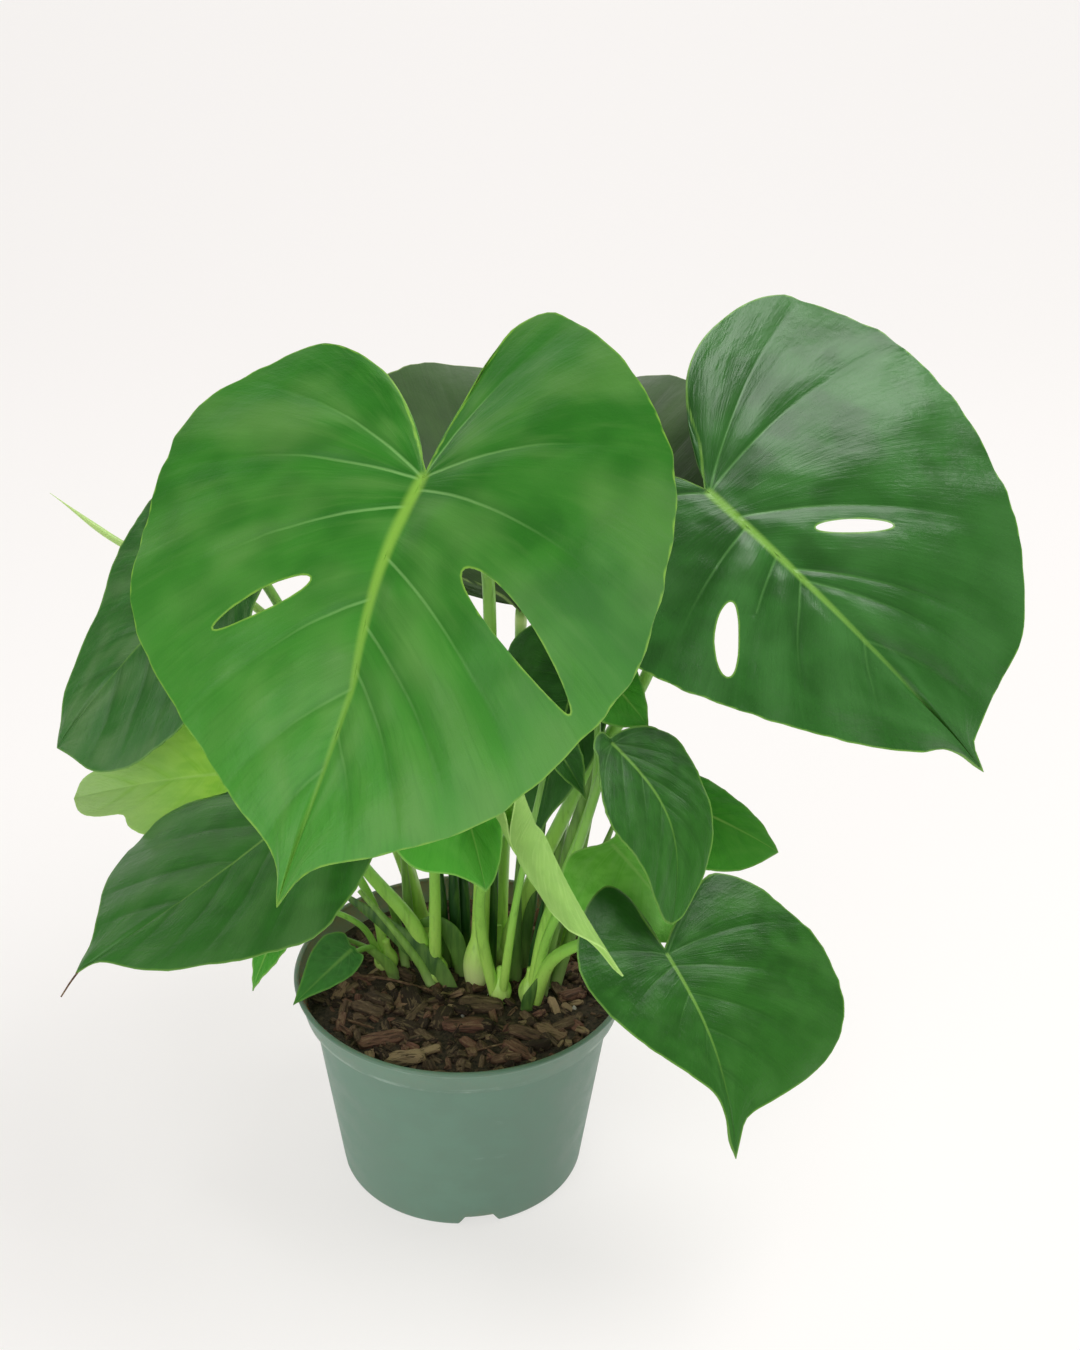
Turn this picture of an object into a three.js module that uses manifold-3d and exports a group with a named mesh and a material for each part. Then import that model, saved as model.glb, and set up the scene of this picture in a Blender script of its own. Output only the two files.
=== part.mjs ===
// A young swiss cheese plant (Monstera) in its green nursery pot.
// Millimetres, +Z up. The origin is the centre of the pot's underside, and -Y is the front.

import * as THREE from 'three';
import { mergeVertices } from 'three/addons/utils/BufferGeometryUtils.js';
import Module from 'manifold-3d';

const wasm = await Module();
wasm.setup();
const { Manifold, Mesh: SolidMesh } = wasm;

// Clearance between neighbouring pieces
const GAP = 0.3;

// Nursery pot: tapered wall, wider collar with a rounded lip, notched foot
const POT = {
  height: 105,
  rimRadius: 77.5,
  lip: 2.4,
  collarDepth: 14,
  collarFootRadius: 73.5,
  bodyTopRadius: 69.5,
  baseRadius: 57,
  footRound: 3,
  wall: 1.4,
  floor: 2,
  innerLedge: 1.5,
  sides: 48,
};
const FOOT_RING = { height: 8, reach: 13.5 };
const FOOT_NOTCH = { count: 4, firstAngle: -80, width: 22, topWidth: 13, height: 6, reach: 12 };
const FLOOR_RADIUS = POT.baseRadius - FOOT_RING.reach - 1;
const DRAIN_HOLE = { count: 4, firstAngle: -35, radius: 5, ring: 36, sides: 12 };

// Potting mix with its bark chips
const MIX = { top: 94, sides: 32, dome: 3, holeSides: 12, holeSlack: 1.4 };
const CHIPS = {
  count: 28, seed: 7, length: [10, 24], aspect: [0.35, 0.6], thickness: [3, 5.5],
  ring: [18, 62], turn: 0.618, tilt: 0.5, stand: 1.2,
};

// Leaf blades
const BLADE_THICKNESS = 0.8;
const RIB_DEPTH = 1.8;
const GRIDS = {
  large: { alongMargin: 18, across: [0, 0.07, 0.24, 0.42, 0.6, 0.8, 1] },
  middle: { alongMargin: 14, across: [0, 0.08, 0.36, 0.68, 1] },
  small: { alongMargin: 10, across: [0, 0.12, 0.55, 1] },
};
const SINUS = 3;
const LOBE_SHARE = 0.4;
const LOBE_DROOP = 0.6;
const VEIN_CROWDING = 1.6;
const VEIN_ARCH = 0.12;
const VEIN_SPREAD = 12;
const WAVES = 2;
const STALK_SIDES = 7;
const STALK_SECTIONS = 11;
const STEM_FLOOR = 66;

// Leaves. An outline goes from the sinus round to the tip, each point as its length along the
// midrib and its distance from it. Pairs are for the left and the right half. Angles in degrees.
const LEAVES = {
  front_leaf: {
    junction: [-11, -60, 373], tip: [-61, -150, 240], roll: 0, droop: 25, bow: 6,
    left: [[-32, 3], [-54, 6], [-67, 10], [-75, 21], [-68, 42], [-43, 80], [-9, 107], [34, 108], [77, 91],
      [117, 66], [139, 34], [153, 9]],
    right: [[-13, 8], [-31, 24], [-42, 40], [-48, 73], [-30, 96], [-5, 115], [47, 116], [85, 101], [112, 67],
      [136, 31], [153, 7]],
    lobeFold: [24, 4], tipFold: [4, 6], cup: [26, 14], ripple: 1.5, sweep: [0.76, 1.2],
    grid: 'large', finish: 'front',
    slots: [
      { side: 1, row: 0.588, across: 0.614, halfWidth: 0.0215, reach: 0.3, taper: 0.5, skew: 0.01 },
      { side: -1, row: 0.697, across: 0.472, halfWidth: 0.0125, reach: 0.2, taper: 0.3, skew: 0.024 },
    ],
  },
  right_leaf: {
    junction: [102, 0, 344], tip: [224, -20, 226], roll: -48, droop: 20, bow: 0,
    left: [[-16, 13], [-31, 24], [-40, 36], [-44, 60], [-33, 95], [-4, 110], [31, 115], [63, 111], [98, 96],
      [127, 77], [146, 57], [155, 28], [166, 9]],
    right: [[-16, 5], [-32, 18], [-42, 40], [-36, 64], [-12, 78], [24, 74], [58, 63], [92, 47], [122, 27],
      [145, 8], [160, 3]],
    lobeFold: [-4, 0], tipFold: [4, 0], cup: [14, 14], ripple: 1.5, sweep: [0.9, 1],
    grid: 'large', finish: 'dark',
    slots: [
      { side: 1, row: 0.641, across: 0.322, halfWidth: 0.011, reach: 0.14, taper: 0, skew: 0.018 },
      { side: -1, row: 0.588, across: 0.635, halfWidth: 0.02, reach: 0.205, taper: 0, skew: 0.006 },
    ],
  },
  back_leaf: {
    junction: [25, 40, 272], tip: [46, 190, 316], roll: 0, droop: 75, bow: 0,
    left: [[3, 8], [7, 24], [10, 48], [16, 72], [28, 88], [50, 92], [82, 82], [114, 62], [142, 34], [157, 12]],
    right: [[3, 8], [6, 24], [5, 46], [9, 70], [23, 87], [46, 93], [78, 84], [112, 62], [142, 32], [157, 12]],
    lobeFold: [34, 30], tipFold: [20, 22], cup: [0, 0], ripple: 1.5, sweep: [1, 1],
    grid: 'middle', finish: 'dark',
  },
  rear_leaf: {
    junction: [-18, 72, 186], tip: [-40, 150, 140], roll: -10, droop: 30, bow: 0,
    left: [[-8, 6], [-18, 18], [-20, 32], [-8, 43], [16, 46], [44, 38], [68, 24], [86, 10]],
    right: [[-8, 6], [-18, 18], [-20, 32], [-8, 43], [16, 46], [44, 38], [68, 24], [86, 10]],
    lobeFold: [6, 6], tipFold: [4, 4], cup: [4, 4], ripple: 1.5, sweep: [1, 1],
    grid: 'middle', finish: 'dark',
  },
  left_leaf: {
    junction: [-99, 25, 303], tip: [-178, 5, 216], roll: 40, droop: 22, bow: 0,
    left: [[-6, 5], [-10, 14], [-4, 20], [8, 25], [23, 37], [45, 42], [62, 40], [80, 38], [102, 31],
      [114, 20], [117, 7]],
    right: [[-8, 5], [-20, 16], [-24, 32], [-10, 48], [14, 52], [35, 45], [59, 30], [89, 19], [109, 8]],
    lobeFold: [0, 0], tipFold: [0, 0], cup: [8, 8], ripple: 2, sweep: [1, 1],
    grid: 'middle', finish: 'dark',
  },
  bright_leaf: {
    junction: [-105, 12, 200], tip: [-173, 5, 190], roll: 30, droop: 20, bow: 0,
    left: [[-6, 5], [-10, 16], [0, 29], [20, 34], [36, 30], [43, 24], [46, 16], [58, 14], [66, 9]],
    right: [[-6, 5], [-10, 16], [2, 26], [24, 27], [44, 18], [56, 11], [65, 7]],
    lobeFold: [20, 20], tipFold: [15, 15], cup: [0, 0], ripple: 1, sweep: [1, 1],
    grid: 'small', finish: 'young',
  },
  lower_left_leaf: {
    junction: [-50, -50, 232], tip: [-155, -88, 163], roll: 8, droop: 20, bow: 9,
    left: [[-10, 6], [-20, 22], [-12, 38], [1, 45], [29, 57], [54, 49], [79, 37], [102, 22], [120, 3]],
    right: [[-10, 6], [-20, 22], [-12, 38], [10, 44], [40, 44], [66, 60], [87, 60], [106, 42], [117, 16],
      [127, 5]],
    lobeFold: [0, 0], tipFold: [0, 0], cup: [8, 8], ripple: 1.5, sweep: [1, 1],
    grid: 'middle', finish: 'dark',
  },
  lower_right_leaf: {
    junction: [88, -85, 175], tip: [117, -128, 105], roll: -8, droop: 20, bow: 5,
    left: [[-10, 7], [-20, 21], [-25, 32], [-18, 45], [-2, 58], [24, 67], [50, 65], [68, 46], [73, 17],
      [80, 4]],
    right: [[-14, 3], [-28, 6], [-35, 13], [-28, 27], [-9, 38], [7, 37], [28, 29], [50, 13], [64, 4],
      [76, 2]],
    lobeFold: [6, 6], tipFold: [0, 0], cup: [8, 8], ripple: 1, sweep: [1, 1],
    grid: 'middle', finish: 'dark',
  },
  glossy_leaf: {
    junction: [64, -50, 254], tip: [89, -85, 190], roll: -12, droop: 18, bow: 12,
    left: [[-4, 4], [-4, 12], [-1, 21], [5, 25], [24, 22], [45, 19], [64, 13], [76, 5]],
    right: [[-6, 3], [-4, 8], [3, 12], [11, 19], [22, 26], [32, 28], [49, 19], [64, 12], [75, 4]],
    lobeFold: [5, 30], tipFold: [0, 20], cup: [5, 0], ripple: 0.5, sweep: [1, 1],
    grid: 'middle', finish: 'dark',
  },
  shoulder_leaf: {
    junction: [90, -5, 202], tip: [141, -8, 176], roll: -40, droop: 30, bow: 0,
    left: [[-4, 4], [-7, 11], [2, 15], [18, 16], [31, 13], [44, 9], [54, 3]],
    right: [[-4, 4], [-8, 12], [0, 20], [16, 24], [31, 21], [45, 15], [55, 4]],
    lobeFold: [0, 0], tipFold: [0, 0], cup: [5, 9], ripple: 0.5, sweep: [1, 1],
    grid: 'small', finish: 'middle',
  },
  low_leaf: {
    junction: [66, -42, 200], tip: [100, -70, 168], roll: -15, droop: 20, bow: 0,
    left: [[-3, 4], [-5, 8], [4, 11], [18, 12], [34, 10], [46, 5]],
    right: [[-4, 5], [-8, 16], [-3, 26], [8, 31], [22, 28], [38, 18], [48, 7]],
    lobeFold: [0, 0], tipFold: [0, 0], cup: [4, 6], ripple: 0.5, sweep: [1, 1],
    grid: 'small', finish: 'middle',
  },
  upper_bright_leaf: {
    junction: [57, -22, 276], tip: [79, -37, 255], roll: -30, droop: 20, bow: 0,
    left: [[-4, 5], [-3, 11], [6, 14], [16, 11], [26, 6]],
    right: [[-3, 4], [-3, 9], [5, 14], [15, 15], [26, 10]],
    lobeFold: [0, 0], tipFold: [0, 0], cup: [3, 5], ripple: 0.5, sweep: [1, 1],
    grid: 'small', finish: 'middle',
  },
  under_leaf: {
    junction: [-6, -58, 263], tip: [14, -96, 212], roll: 0, droop: 25, bow: 0,
    left: [[-5, 4], [-6, 9], [2, 13], [18, 15], [36, 15], [52, 11], [63, 5]],
    right: [[-5, 5], [-9, 16], [0, 27], [18, 33], [38, 32], [51, 26], [58, 11], [64, 3]],
    lobeFold: [6, 6], tipFold: [0, 0], cup: [4, 5], ripple: 0.5, sweep: [1, 1],
    grid: 'small', finish: 'middle',
  },
  furled_leaf: {
    junction: [23, -81, 243], tip: [66, -124, 191], roll: -38, droop: 12, bow: -3,
    left: [[-8, 9], [2, 18], [26, 19], [46, 14.5], [62, 9], [76, 3]],
    right: [[-12, 9], [-6, 17], [16, 20], [40, 16], [58, 9], [76, 3]],
    curl: [8.5, 3], sweep: [1, 1],
    grid: 'small', finish: 'young',
  },
  hidden_leaf: {
    junction: [50, -5, 262], tip: [34, -28, 192], roll: 0, droop: 20, bow: 0,
    left: [[-6, 4], [-12, 12], [-4, 18], [12, 20], [30, 19], [50, 11], [65, 3]],
    right: [[-6, 6], [-15, 20], [-15, 30], [-5, 38], [16, 38], [40, 28], [60, 13]],
    lobeFold: [0, 0], tipFold: [0, 0], cup: [3, 4], ripple: 0.5, sweep: [1, 1],
    grid: 'small', finish: 'dark',
  },
  rim_leaf: {
    junction: [-50, -12, 122], tip: [-74, -36, 109], roll: 30, droop: 20, bow: 0,
    left: [[-2, 2], [-2, 6], [7, 9], [18, 7], [28, 3]],
    right: [[-2, 2], [-4, 8], [2, 13], [13, 12], [25, 6]],
    lobeFold: [8, 8], tipFold: [8, 8], cup: [1, 2], ripple: 0, sweep: [1, 1],
    grid: 'small', finish: 'dark',
  },
  hanging_leaf: {
    junction: [-78, -18, 144], tip: [-92, -34, 115], roll: 0, droop: 20, bow: 0,
    left: [[-2, 2], [-2, 7], [6, 10], [18, 8], [29, 3]],
    right: [[-2, 2], [-2, 7], [6, 10], [18, 8], [29, 3]],
    lobeFold: [8, 8], tipFold: [8, 8], cup: [1, 1], ripple: 0, sweep: [1, 1],
    grid: 'small', finish: 'middle',
  },
  curled_leaf: {
    junction: [38, -38, 250], tip: [54, -48, 226], roll: -20, droop: 20, bow: 0,
    left: [[-2, 2], [-1, 6], [7, 8], [17, 6], [25, 2]],
    right: [[-2, 2], [-1, 6], [7, 8], [17, 6], [25, 2]],
    lobeFold: [30, 30], tipFold: [20, 20], cup: [0, 0], ripple: 0, sweep: [1, 1],
    grid: 'small', finish: 'middle',
  },
};

// Plantlets: where each stem stands in the mix, and the route and the thickness of each leaf's stalk
const PLANTLETS = {
  left_plantlet: {
    at: [-36, 11], radius: 6, height: 16,
    stalks: [
      { to: 'rim_leaf', route: [[-42, 4, 112], [-49, -6, 117]], radius: [2.6, 1.4] },
      { to: 'hanging_leaf', route: [[-46, 4, 124], [-65, -7, 141], [-73, -13, 141]], radius: [2.4, 1.3] },
      { to: 'bright_leaf', route: [[-42, 14, 130], [-68, 20, 170], [-97, 18, 189]], radius: [3.2, 1.8] },
    ],
  },
  front_left_plantlet: {
    at: [-13, 3], radius: 7, height: 18,
    stalks: [
      { to: 'lower_left_leaf', route: [[-21, 2, 124], [-46, -10, 172], [-46, -36, 218]], radius: [5, 2.4] },
      { to: 'under_leaf', route: [[-12, -4, 150], [-12, -20, 218], [-10, -41, 250]], radius: [4, 2] },
    ],
  },
  middle_plantlet: {
    at: [7, 1], radius: 7.5, height: 30,
    stalks: [
      { to: 'front_leaf', route: [[9, 3, 150], [12, 6, 230], [11, 0, 310], [4, -28, 348]], radius: [5.5, 2.8] },
    ],
  },
  front_plantlet: {
    at: [18, -12], radius: 5.6, height: 18,
    stalks: [
      { to: 'furled_leaf', route: [[11, -15, 124], [9, -24, 158], [17, -52, 208]], radius: [3.8, 2.2] },
      { to: 'curled_leaf', route: [[24, -22, 150], [31, -34, 200], [37, -36, 236]], radius: [3, 1.4] },
    ],
  },
  right_plantlet: {
    at: [32, -12], radius: 6, height: 18,
    stalks: [
      { to: 'glossy_leaf', route: [[38, -16, 140], [51, -30, 190], [61, -42, 238]], radius: [4.5, 2.2] },
      { to: 'lower_right_leaf', route: [[42, -24, 128], [68, -50, 158], [82, -70, 166]], radius: [4.5, 2.2] },
      { to: 'low_leaf', route: [[40, -20, 140], [54, -30, 176], [62, -36, 190]], radius: [3.6, 1.8] },
    ],
  },
  back_plantlet: {
    at: [16, 20], radius: 8, height: 20,
    stalks: [
      { to: 'right_leaf', route: [[30, 12, 140], [57, -6, 219], [77, -13, 262], [97, -8, 322]], radius: [5.5, 2.8] },
      { to: 'back_leaf', route: [[18, 26, 150], [22, 36, 220], [25, 44, 260]], radius: [5, 2.6] },
    ],
  },
  back_right_plantlet: {
    at: [40, 8], radius: 6, height: 16,
    stalks: [
      { to: 'shoulder_leaf', route: [[50, 6, 130], [72, 2, 172], [86, 0, 192]], radius: [4, 2] },
      { to: 'upper_bright_leaf', route: [[42, -12, 150], [53, -22, 196], [58, -30, 224], [58, -27, 260]], radius: [3.4, 1.6] },
      { to: 'hidden_leaf', route: [[43, 13, 150], [51, 18, 210], [54, 8, 246]], radius: [4, 2] },
    ],
  },
  back_left_plantlet: {
    at: [-16, 26], radius: 7, height: 20,
    stalks: [
      { to: 'left_leaf', route: [[-26, 24, 140], [-52, 27, 210], [-88, 34, 286]], radius: [5, 2.5] },
      { to: 'rear_leaf', route: [[-14, 42, 140], [-17, 58, 166], [-18, 68, 178]], radius: [4.2, 2] },
    ],
  },
};

// The rolled new leaf: a stalk that ends in a slender point
const SPEAR = {
  plantlet: 'back_left_plantlet',
  route: [[-30, 34, 150], [-60, 48, 222], [-106, 64, 266], [-153, 66, 286], [-185, 65, 312]],
  radius: [4, 1],
};

// Random numbers from a fixed seed
function seeded(seed) {
  let state = seed;
  return () => {
    state = (state * 1664525 + 1013904223) % 4294967296;
    return state / 4294967296;
  };
}

const clamp = (x, low, high) => Math.min(high, Math.max(low, x));
const smooth = (x) => x * x * (3 - 2 * x);
const mix = (a, b, t) => a + (b - a) * t;
const radians = THREE.MathUtils.degToRad;

// Colour and finish of each kind of surface
const finish = (name, color, roughness) => new THREE.MeshStandardMaterial({ name, color, roughness, metalness: 0 });
const FINISHES = {
  pot: () => finish('pot_plastic', 0x68856f, 0.45),
  mix: () => finish('potting_mix', 0x3b2a22, 0.95),
  stalk: () => finish('stalk', 0x6fa044, 0.45),
  front: () => finish('front_leaf_green', 0x4c8f3c, 0.4),
  dark: () => finish('dark_leaf_green', 0x2c5c33, 0.35),
  middle: () => finish('mid_leaf_green', 0x3a7a36, 0.4),
  young: () => finish('young_leaf_green', 0x86bb4b, 0.45),
};

// A closed geometry as a solid that can be joined and cut
function solidOf(geometry) {
  const bare = geometry.clone();
  for (const attribute of Object.keys(bare.attributes)) {
    if (attribute !== 'position') bare.deleteAttribute(attribute);
  }
  const merged = mergeVertices(bare, 1e-4);
  return new Manifold(new SolidMesh({
    numProp: 3,
    vertProperties: new Float32Array(merged.attributes.position.array),
    triVerts: new Uint32Array(merged.index.array),
  }));
}

// The main piece of a cut solid, without loose scraps
const largest = (solid) => solid.decompose().sort((a, b) => b.volume() - a.volume())[0];

// A solid as a named mesh
function meshOf(name, solid, material) {
  const { vertProperties, triVerts } = solid.getMesh();
  const geometry = new THREE.BufferGeometry();
  geometry.setAttribute('position', new THREE.BufferAttribute(new Float32Array(vertProperties), 3));
  geometry.setIndex(new THREE.BufferAttribute(new Uint32Array(triVerts), 1));
  geometry.computeVertexNormals();
  const mesh = new THREE.Mesh(geometry, material);
  mesh.name = name;
  return mesh;
}

// A closed profile of [radius, height] pairs turned about Z
function turned(profile, sides) {
  const points = profile.map(([radius, height]) => new THREE.Vector2(radius, height));
  const geometry = new THREE.LatheGeometry(points, sides);
  geometry.rotateX(Math.PI / 2);
  return solidOf(geometry);
}

// A box or a cylinder moved and turned into place
function placed(geometry, position, rotation = new THREE.Euler()) {
  geometry.applyMatrix4(new THREE.Matrix4().makeRotationFromEuler(rotation).setPosition(position));
  return solidOf(geometry);
}

// Pot: outer wall from the foot to the lip, then the inner wall back down to the floor. The floor
// is raised to a ring beside the wall, and the notches are cut into that ring from below.
function innerRadius(height) {
  const share = (height - POT.floor) / (POT.height - POT.collarDepth - POT.floor);
  return mix(POT.baseRadius - POT.wall - 1, POT.bodyTopRadius - POT.wall, clamp(share, 0, 1));
}

function pot() {
  const collarFoot = POT.height - POT.collarDepth;
  const rimInside = POT.rimRadius - POT.lip;
  const profile = [
    [0, 0],
    [POT.baseRadius - POT.footRound, 0],
    [POT.baseRadius - POT.footRound * 0.3, POT.footRound * 0.3],
    [POT.baseRadius + 0.4, POT.footRound],
    [POT.bodyTopRadius, collarFoot - 1],
    [POT.collarFootRadius, collarFoot],
    [POT.rimRadius - 0.9, POT.height - POT.lip],
    [POT.rimRadius, POT.height - POT.lip * 0.5],
    [POT.rimRadius - POT.lip * 0.4, POT.height],
    [rimInside, POT.height - 0.4],
    [POT.collarFootRadius - POT.wall, collarFoot + POT.innerLedge],
    [POT.bodyTopRadius - POT.wall, collarFoot - 0.5],
    [innerRadius(FOOT_RING.height), FOOT_RING.height],
    [FLOOR_RADIUS + 1, FOOT_RING.height - 0.5],
    [FLOOR_RADIUS, POT.floor],
    [0, POT.floor],
    [0, 0],
  ];
  let solid = turned(profile, POT.sides);
  for (let i = 0; i < FOOT_NOTCH.count; i++) {
    const outline = new THREE.Shape([
      new THREE.Vector2(-FOOT_NOTCH.width / 2, -1),
      new THREE.Vector2(FOOT_NOTCH.width / 2, -1),
      new THREE.Vector2(FOOT_NOTCH.topWidth / 2, FOOT_NOTCH.height),
      new THREE.Vector2(-FOOT_NOTCH.topWidth / 2, FOOT_NOTCH.height),
    ]);
    const wedge = new THREE.ExtrudeGeometry(outline, { depth: 2 * FOOT_NOTCH.reach, bevelEnabled: false });
    wedge.rotateX(Math.PI / 2);
    wedge.translate(0, FOOT_NOTCH.reach, 0);
    wedge.rotateZ(Math.PI / 2);
    wedge.translate(POT.baseRadius, 0, 0);
    wedge.rotateZ(radians(FOOT_NOTCH.firstAngle + (360 / FOOT_NOTCH.count) * i));
    solid = solid.subtract(solidOf(wedge));
  }
  for (let i = 0; i < DRAIN_HOLE.count; i++) {
    const angle = radians(DRAIN_HOLE.firstAngle + (360 / DRAIN_HOLE.count) * i);
    const place = new THREE.Vector3(DRAIN_HOLE.ring * Math.cos(angle), DRAIN_HOLE.ring * Math.sin(angle), 0);
    const drill = new THREE.CylinderGeometry(DRAIN_HOLE.radius, DRAIN_HOLE.radius, 10, DRAIN_HOLE.sides);
    solid = solid.subtract(placed(drill, place, new THREE.Euler(Math.PI / 2, 0, 0)));
  }
  return meshOf('pot', solid, FINISHES.pot());
}

// A smooth line through hand-placed points, by its share of length
function lineThrough(points) {
  const curve = new THREE.CatmullRomCurve3(points.map((p) => new THREE.Vector3(...p)), false, 'centripetal');
  curve.arcLengthDivisions = 200;
  return (share) => curve.getPointAt(clamp(share, 0, 1));
}

// Where a leaf lies: its junction with the stalk, its tip, its roll and its droop along the midrib.
// A place on the blade is its length along the midrib and its distance aside, which is positive
// left of the midrib, seen from above with the tip ahead.
function leafFrame(leaf) {
  const junction = new THREE.Vector3(...leaf.junction);
  const chord = new THREE.Vector3(...leaf.tip).sub(junction);
  const direction = chord.clone().normalize();
  const face = new THREE.Vector3(0, 0, 1).addScaledVector(direction, -direction.z).normalize();
  face.applyAxisAngle(direction, -radians(leaf.roll));
  const aside = new THREE.Vector3().crossVectors(face, direction);
  const droop = radians(leaf.droop);
  const length = (chord.length() * droop) / 2 / Math.sin(droop / 2);
  const forward = direction.clone().multiplyScalar(Math.cos(droop / 2)).addScaledVector(face, Math.sin(droop / 2));
  const normal = face.clone().multiplyScalar(Math.cos(droop / 2)).addScaledVector(direction, -Math.sin(droop / 2));
  const widest = Math.max(...leaf.left.map((p) => p[1]), ...leaf.right.map((p) => p[1]));

  const point = (along, sideways, lift) => {
    const bend = (droop / length) * (along > 0 ? 1 : LOBE_DROOP);
    const turn = bend * along;
    const shift = leaf.bow * Math.sin(Math.PI * clamp(along / length, 0, 1));
    if (leaf.curl) {
      const radius = mix(leaf.curl[0], leaf.curl[1], along / length);
      const angle = sideways / radius;
      const inwards = radius - (radius - lift) * Math.cos(angle);
      return junction.clone()
        .addScaledVector(forward, Math.sin(turn) * (1 / bend + inwards))
        .addScaledVector(normal, Math.cos(turn) * (1 / bend + inwards) - 1 / bend)
        .addScaledVector(aside, (radius - lift) * Math.sin(angle) + shift);
    }
    const side = sideways > 0 ? 0 : 1;
    const forwards = smooth(clamp((along / length + 0.25) / 0.85, 0, 1));
    const fold = radians(mix(leaf.lobeFold[side], leaf.tipFold[side], forwards));
    const outwards = (sideways / widest) ** 2;
    const wave = leaf.ripple * Math.sin(2 * Math.PI * (WAVES * (along / length) + 0.37 * side));
    const rise = Math.abs(sideways) * Math.tan(fold) + (wave - leaf.cup[side]) * outwards + lift;
    return junction.clone()
      .addScaledVector(forward, Math.sin(turn) * (1 / bend + rise))
      .addScaledVector(normal, Math.cos(turn) * (1 / bend + rise) - 1 / bend)
      .addScaledVector(aside, sideways + shift);
  };
  return { junction, length, normal, forward, aside, point };
}

// One half of a blade. A row starts on the midrib and follows a side vein to the margin. The
// first row lies in the sinus, the rows of the lobe start at the junction, the last is the tip.
function halfBlade(leaf, frame, side) {
  const outline = side > 0 ? leaf.left : leaf.right;
  const points = outline.map(([along, width]) => [along, side * width, 0]);
  const margin = lineThrough([[-SINUS, 0, 0], ...points, [frame.length, 0, 0]]);
  const sweep = leaf.sweep[side > 0 ? 0 : 1];
  return (row, across) => {
    const edge = margin(row ** sweep);
    const foot = frame.length * clamp((row - LOBE_SHARE) / (1 - LOBE_SHARE), 0, 1) ** VEIN_CROWDING;
    const arch = 2 * VEIN_ARCH * across * (1 - across) * clamp(Math.abs(edge.y) / VEIN_SPREAD, 0, 1);
    const run = edge.x - foot;
    return [foot + run * across - arch * Math.abs(edge.y), edge.y * across + arch * side * run];
  };
}

// Outline of a slot between two side veins, as [row, across] for an angle round its middle
function slotPoint(slot, angle) {
  const end = Math.cos(angle);
  const row = slot.row + slot.skew * end + slot.halfWidth * Math.sin(angle) * (1 - slot.taper * end);
  return [row, slot.across + slot.reach * end];
}

// Blade: both halves as one sheet, with its slots, given its thickness and a rib below the midrib
function blade(name, leaf, material) {
  const frame = leafFrame(leaf);
  const grid = GRIDS[leaf.grid];
  const places = [];
  const faces = [];
  const known = new Map();
  const place = (half, side, row, across) => {
    const [along, sideways] = half(row, across);
    const key = `${along.toFixed(3)} ${sideways.toFixed(3)}`;
    if (!known.has(key)) {
      known.set(key, places.length);
      places.push({ along, sideways, onRib: across === 0 });
    }
    return known.get(key);
  };
  const face = (side, a, b, c) => {
    if (a !== b && b !== c && a !== c) faces.push(side > 0 ? [a, b, c] : [a, c, b]);
  };

  for (const side of [1, -1]) {
    const half = halfBlade(leaf, frame, side);
    const rows = grid.alongMargin;
    const columns = grid.across.length - 1;
    const slots = (leaf.slots ?? []).filter((slot) => slot.side === side);
    const blocks = slots.map((slot) => slotBlock(slot, grid));
    const corner = (i, j) => place(half, side, i / rows, grid.across[j]);
    for (let i = 0; i < rows; i++) {
      for (let j = 0; j < columns; j++) {
        if (blocks.some((b) => i >= b.rowStart && i < b.rowEnd && j >= b.acrossStart && j < b.acrossEnd)) continue;
        const [a, b, c, d] = [corner(i, j), corner(i + 1, j), corner(i + 1, j + 1), corner(i, j + 1)];
        face(side, a, b, c);
        face(side, a, c, d);
      }
    }
    slots.forEach((slot, k) => {
      const ring = blocks[k].ring.map(([i, j]) => {
        const [row, across] = [i / rows, grid.across[j]];
        const angle = Math.atan2((row - blocks[k].row) / blocks[k].rowReach, (across - blocks[k].across) / blocks[k].acrossReach);
        return { outer: corner(i, j), inner: place(half, side, ...slotPoint(slot, angle)) };
      });
      ring.forEach((here, n) => {
        const next = ring[(n + 1) % ring.length];
        face(side, here.outer, next.outer, next.inner);
        face(side, here.outer, next.inner, here.inner);
      });
    });
  }
  return meshOf(name, sheetSolid(frame, places, faces), material);
}

// The block of grid cells that a slot takes up, with the ring of corners round it
function slotBlock(slot, grid) {
  const spread = slot.halfWidth * (1 + slot.taper) + slot.skew;
  const rowStart = Math.floor((slot.row - spread) * grid.alongMargin);
  const rowEnd = Math.ceil((slot.row + spread) * grid.alongMargin);
  const acrossStart = grid.across.findLastIndex((x) => x <= slot.across - slot.reach - 0.01);
  const acrossEnd = grid.across.findIndex((x) => x >= slot.across + slot.reach + 0.01);
  const ring = [];
  for (let i = rowStart; i < rowEnd; i++) ring.push([i, acrossStart]);
  for (let j = acrossStart; j < acrossEnd; j++) ring.push([rowEnd, j]);
  for (let i = rowEnd; i > rowStart; i--) ring.push([i, acrossEnd]);
  for (let j = acrossEnd; j > acrossStart; j--) ring.push([rowStart, j]);
  return {
    rowStart, rowEnd, acrossStart, acrossEnd, ring,
    row: (rowStart + rowEnd) / 2 / grid.alongMargin,
    rowReach: (rowEnd - rowStart) / 2 / grid.alongMargin,
    across: (grid.across[acrossStart] + grid.across[acrossEnd]) / 2,
    acrossReach: (grid.across[acrossEnd] - grid.across[acrossStart]) / 2,
  };
}

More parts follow.
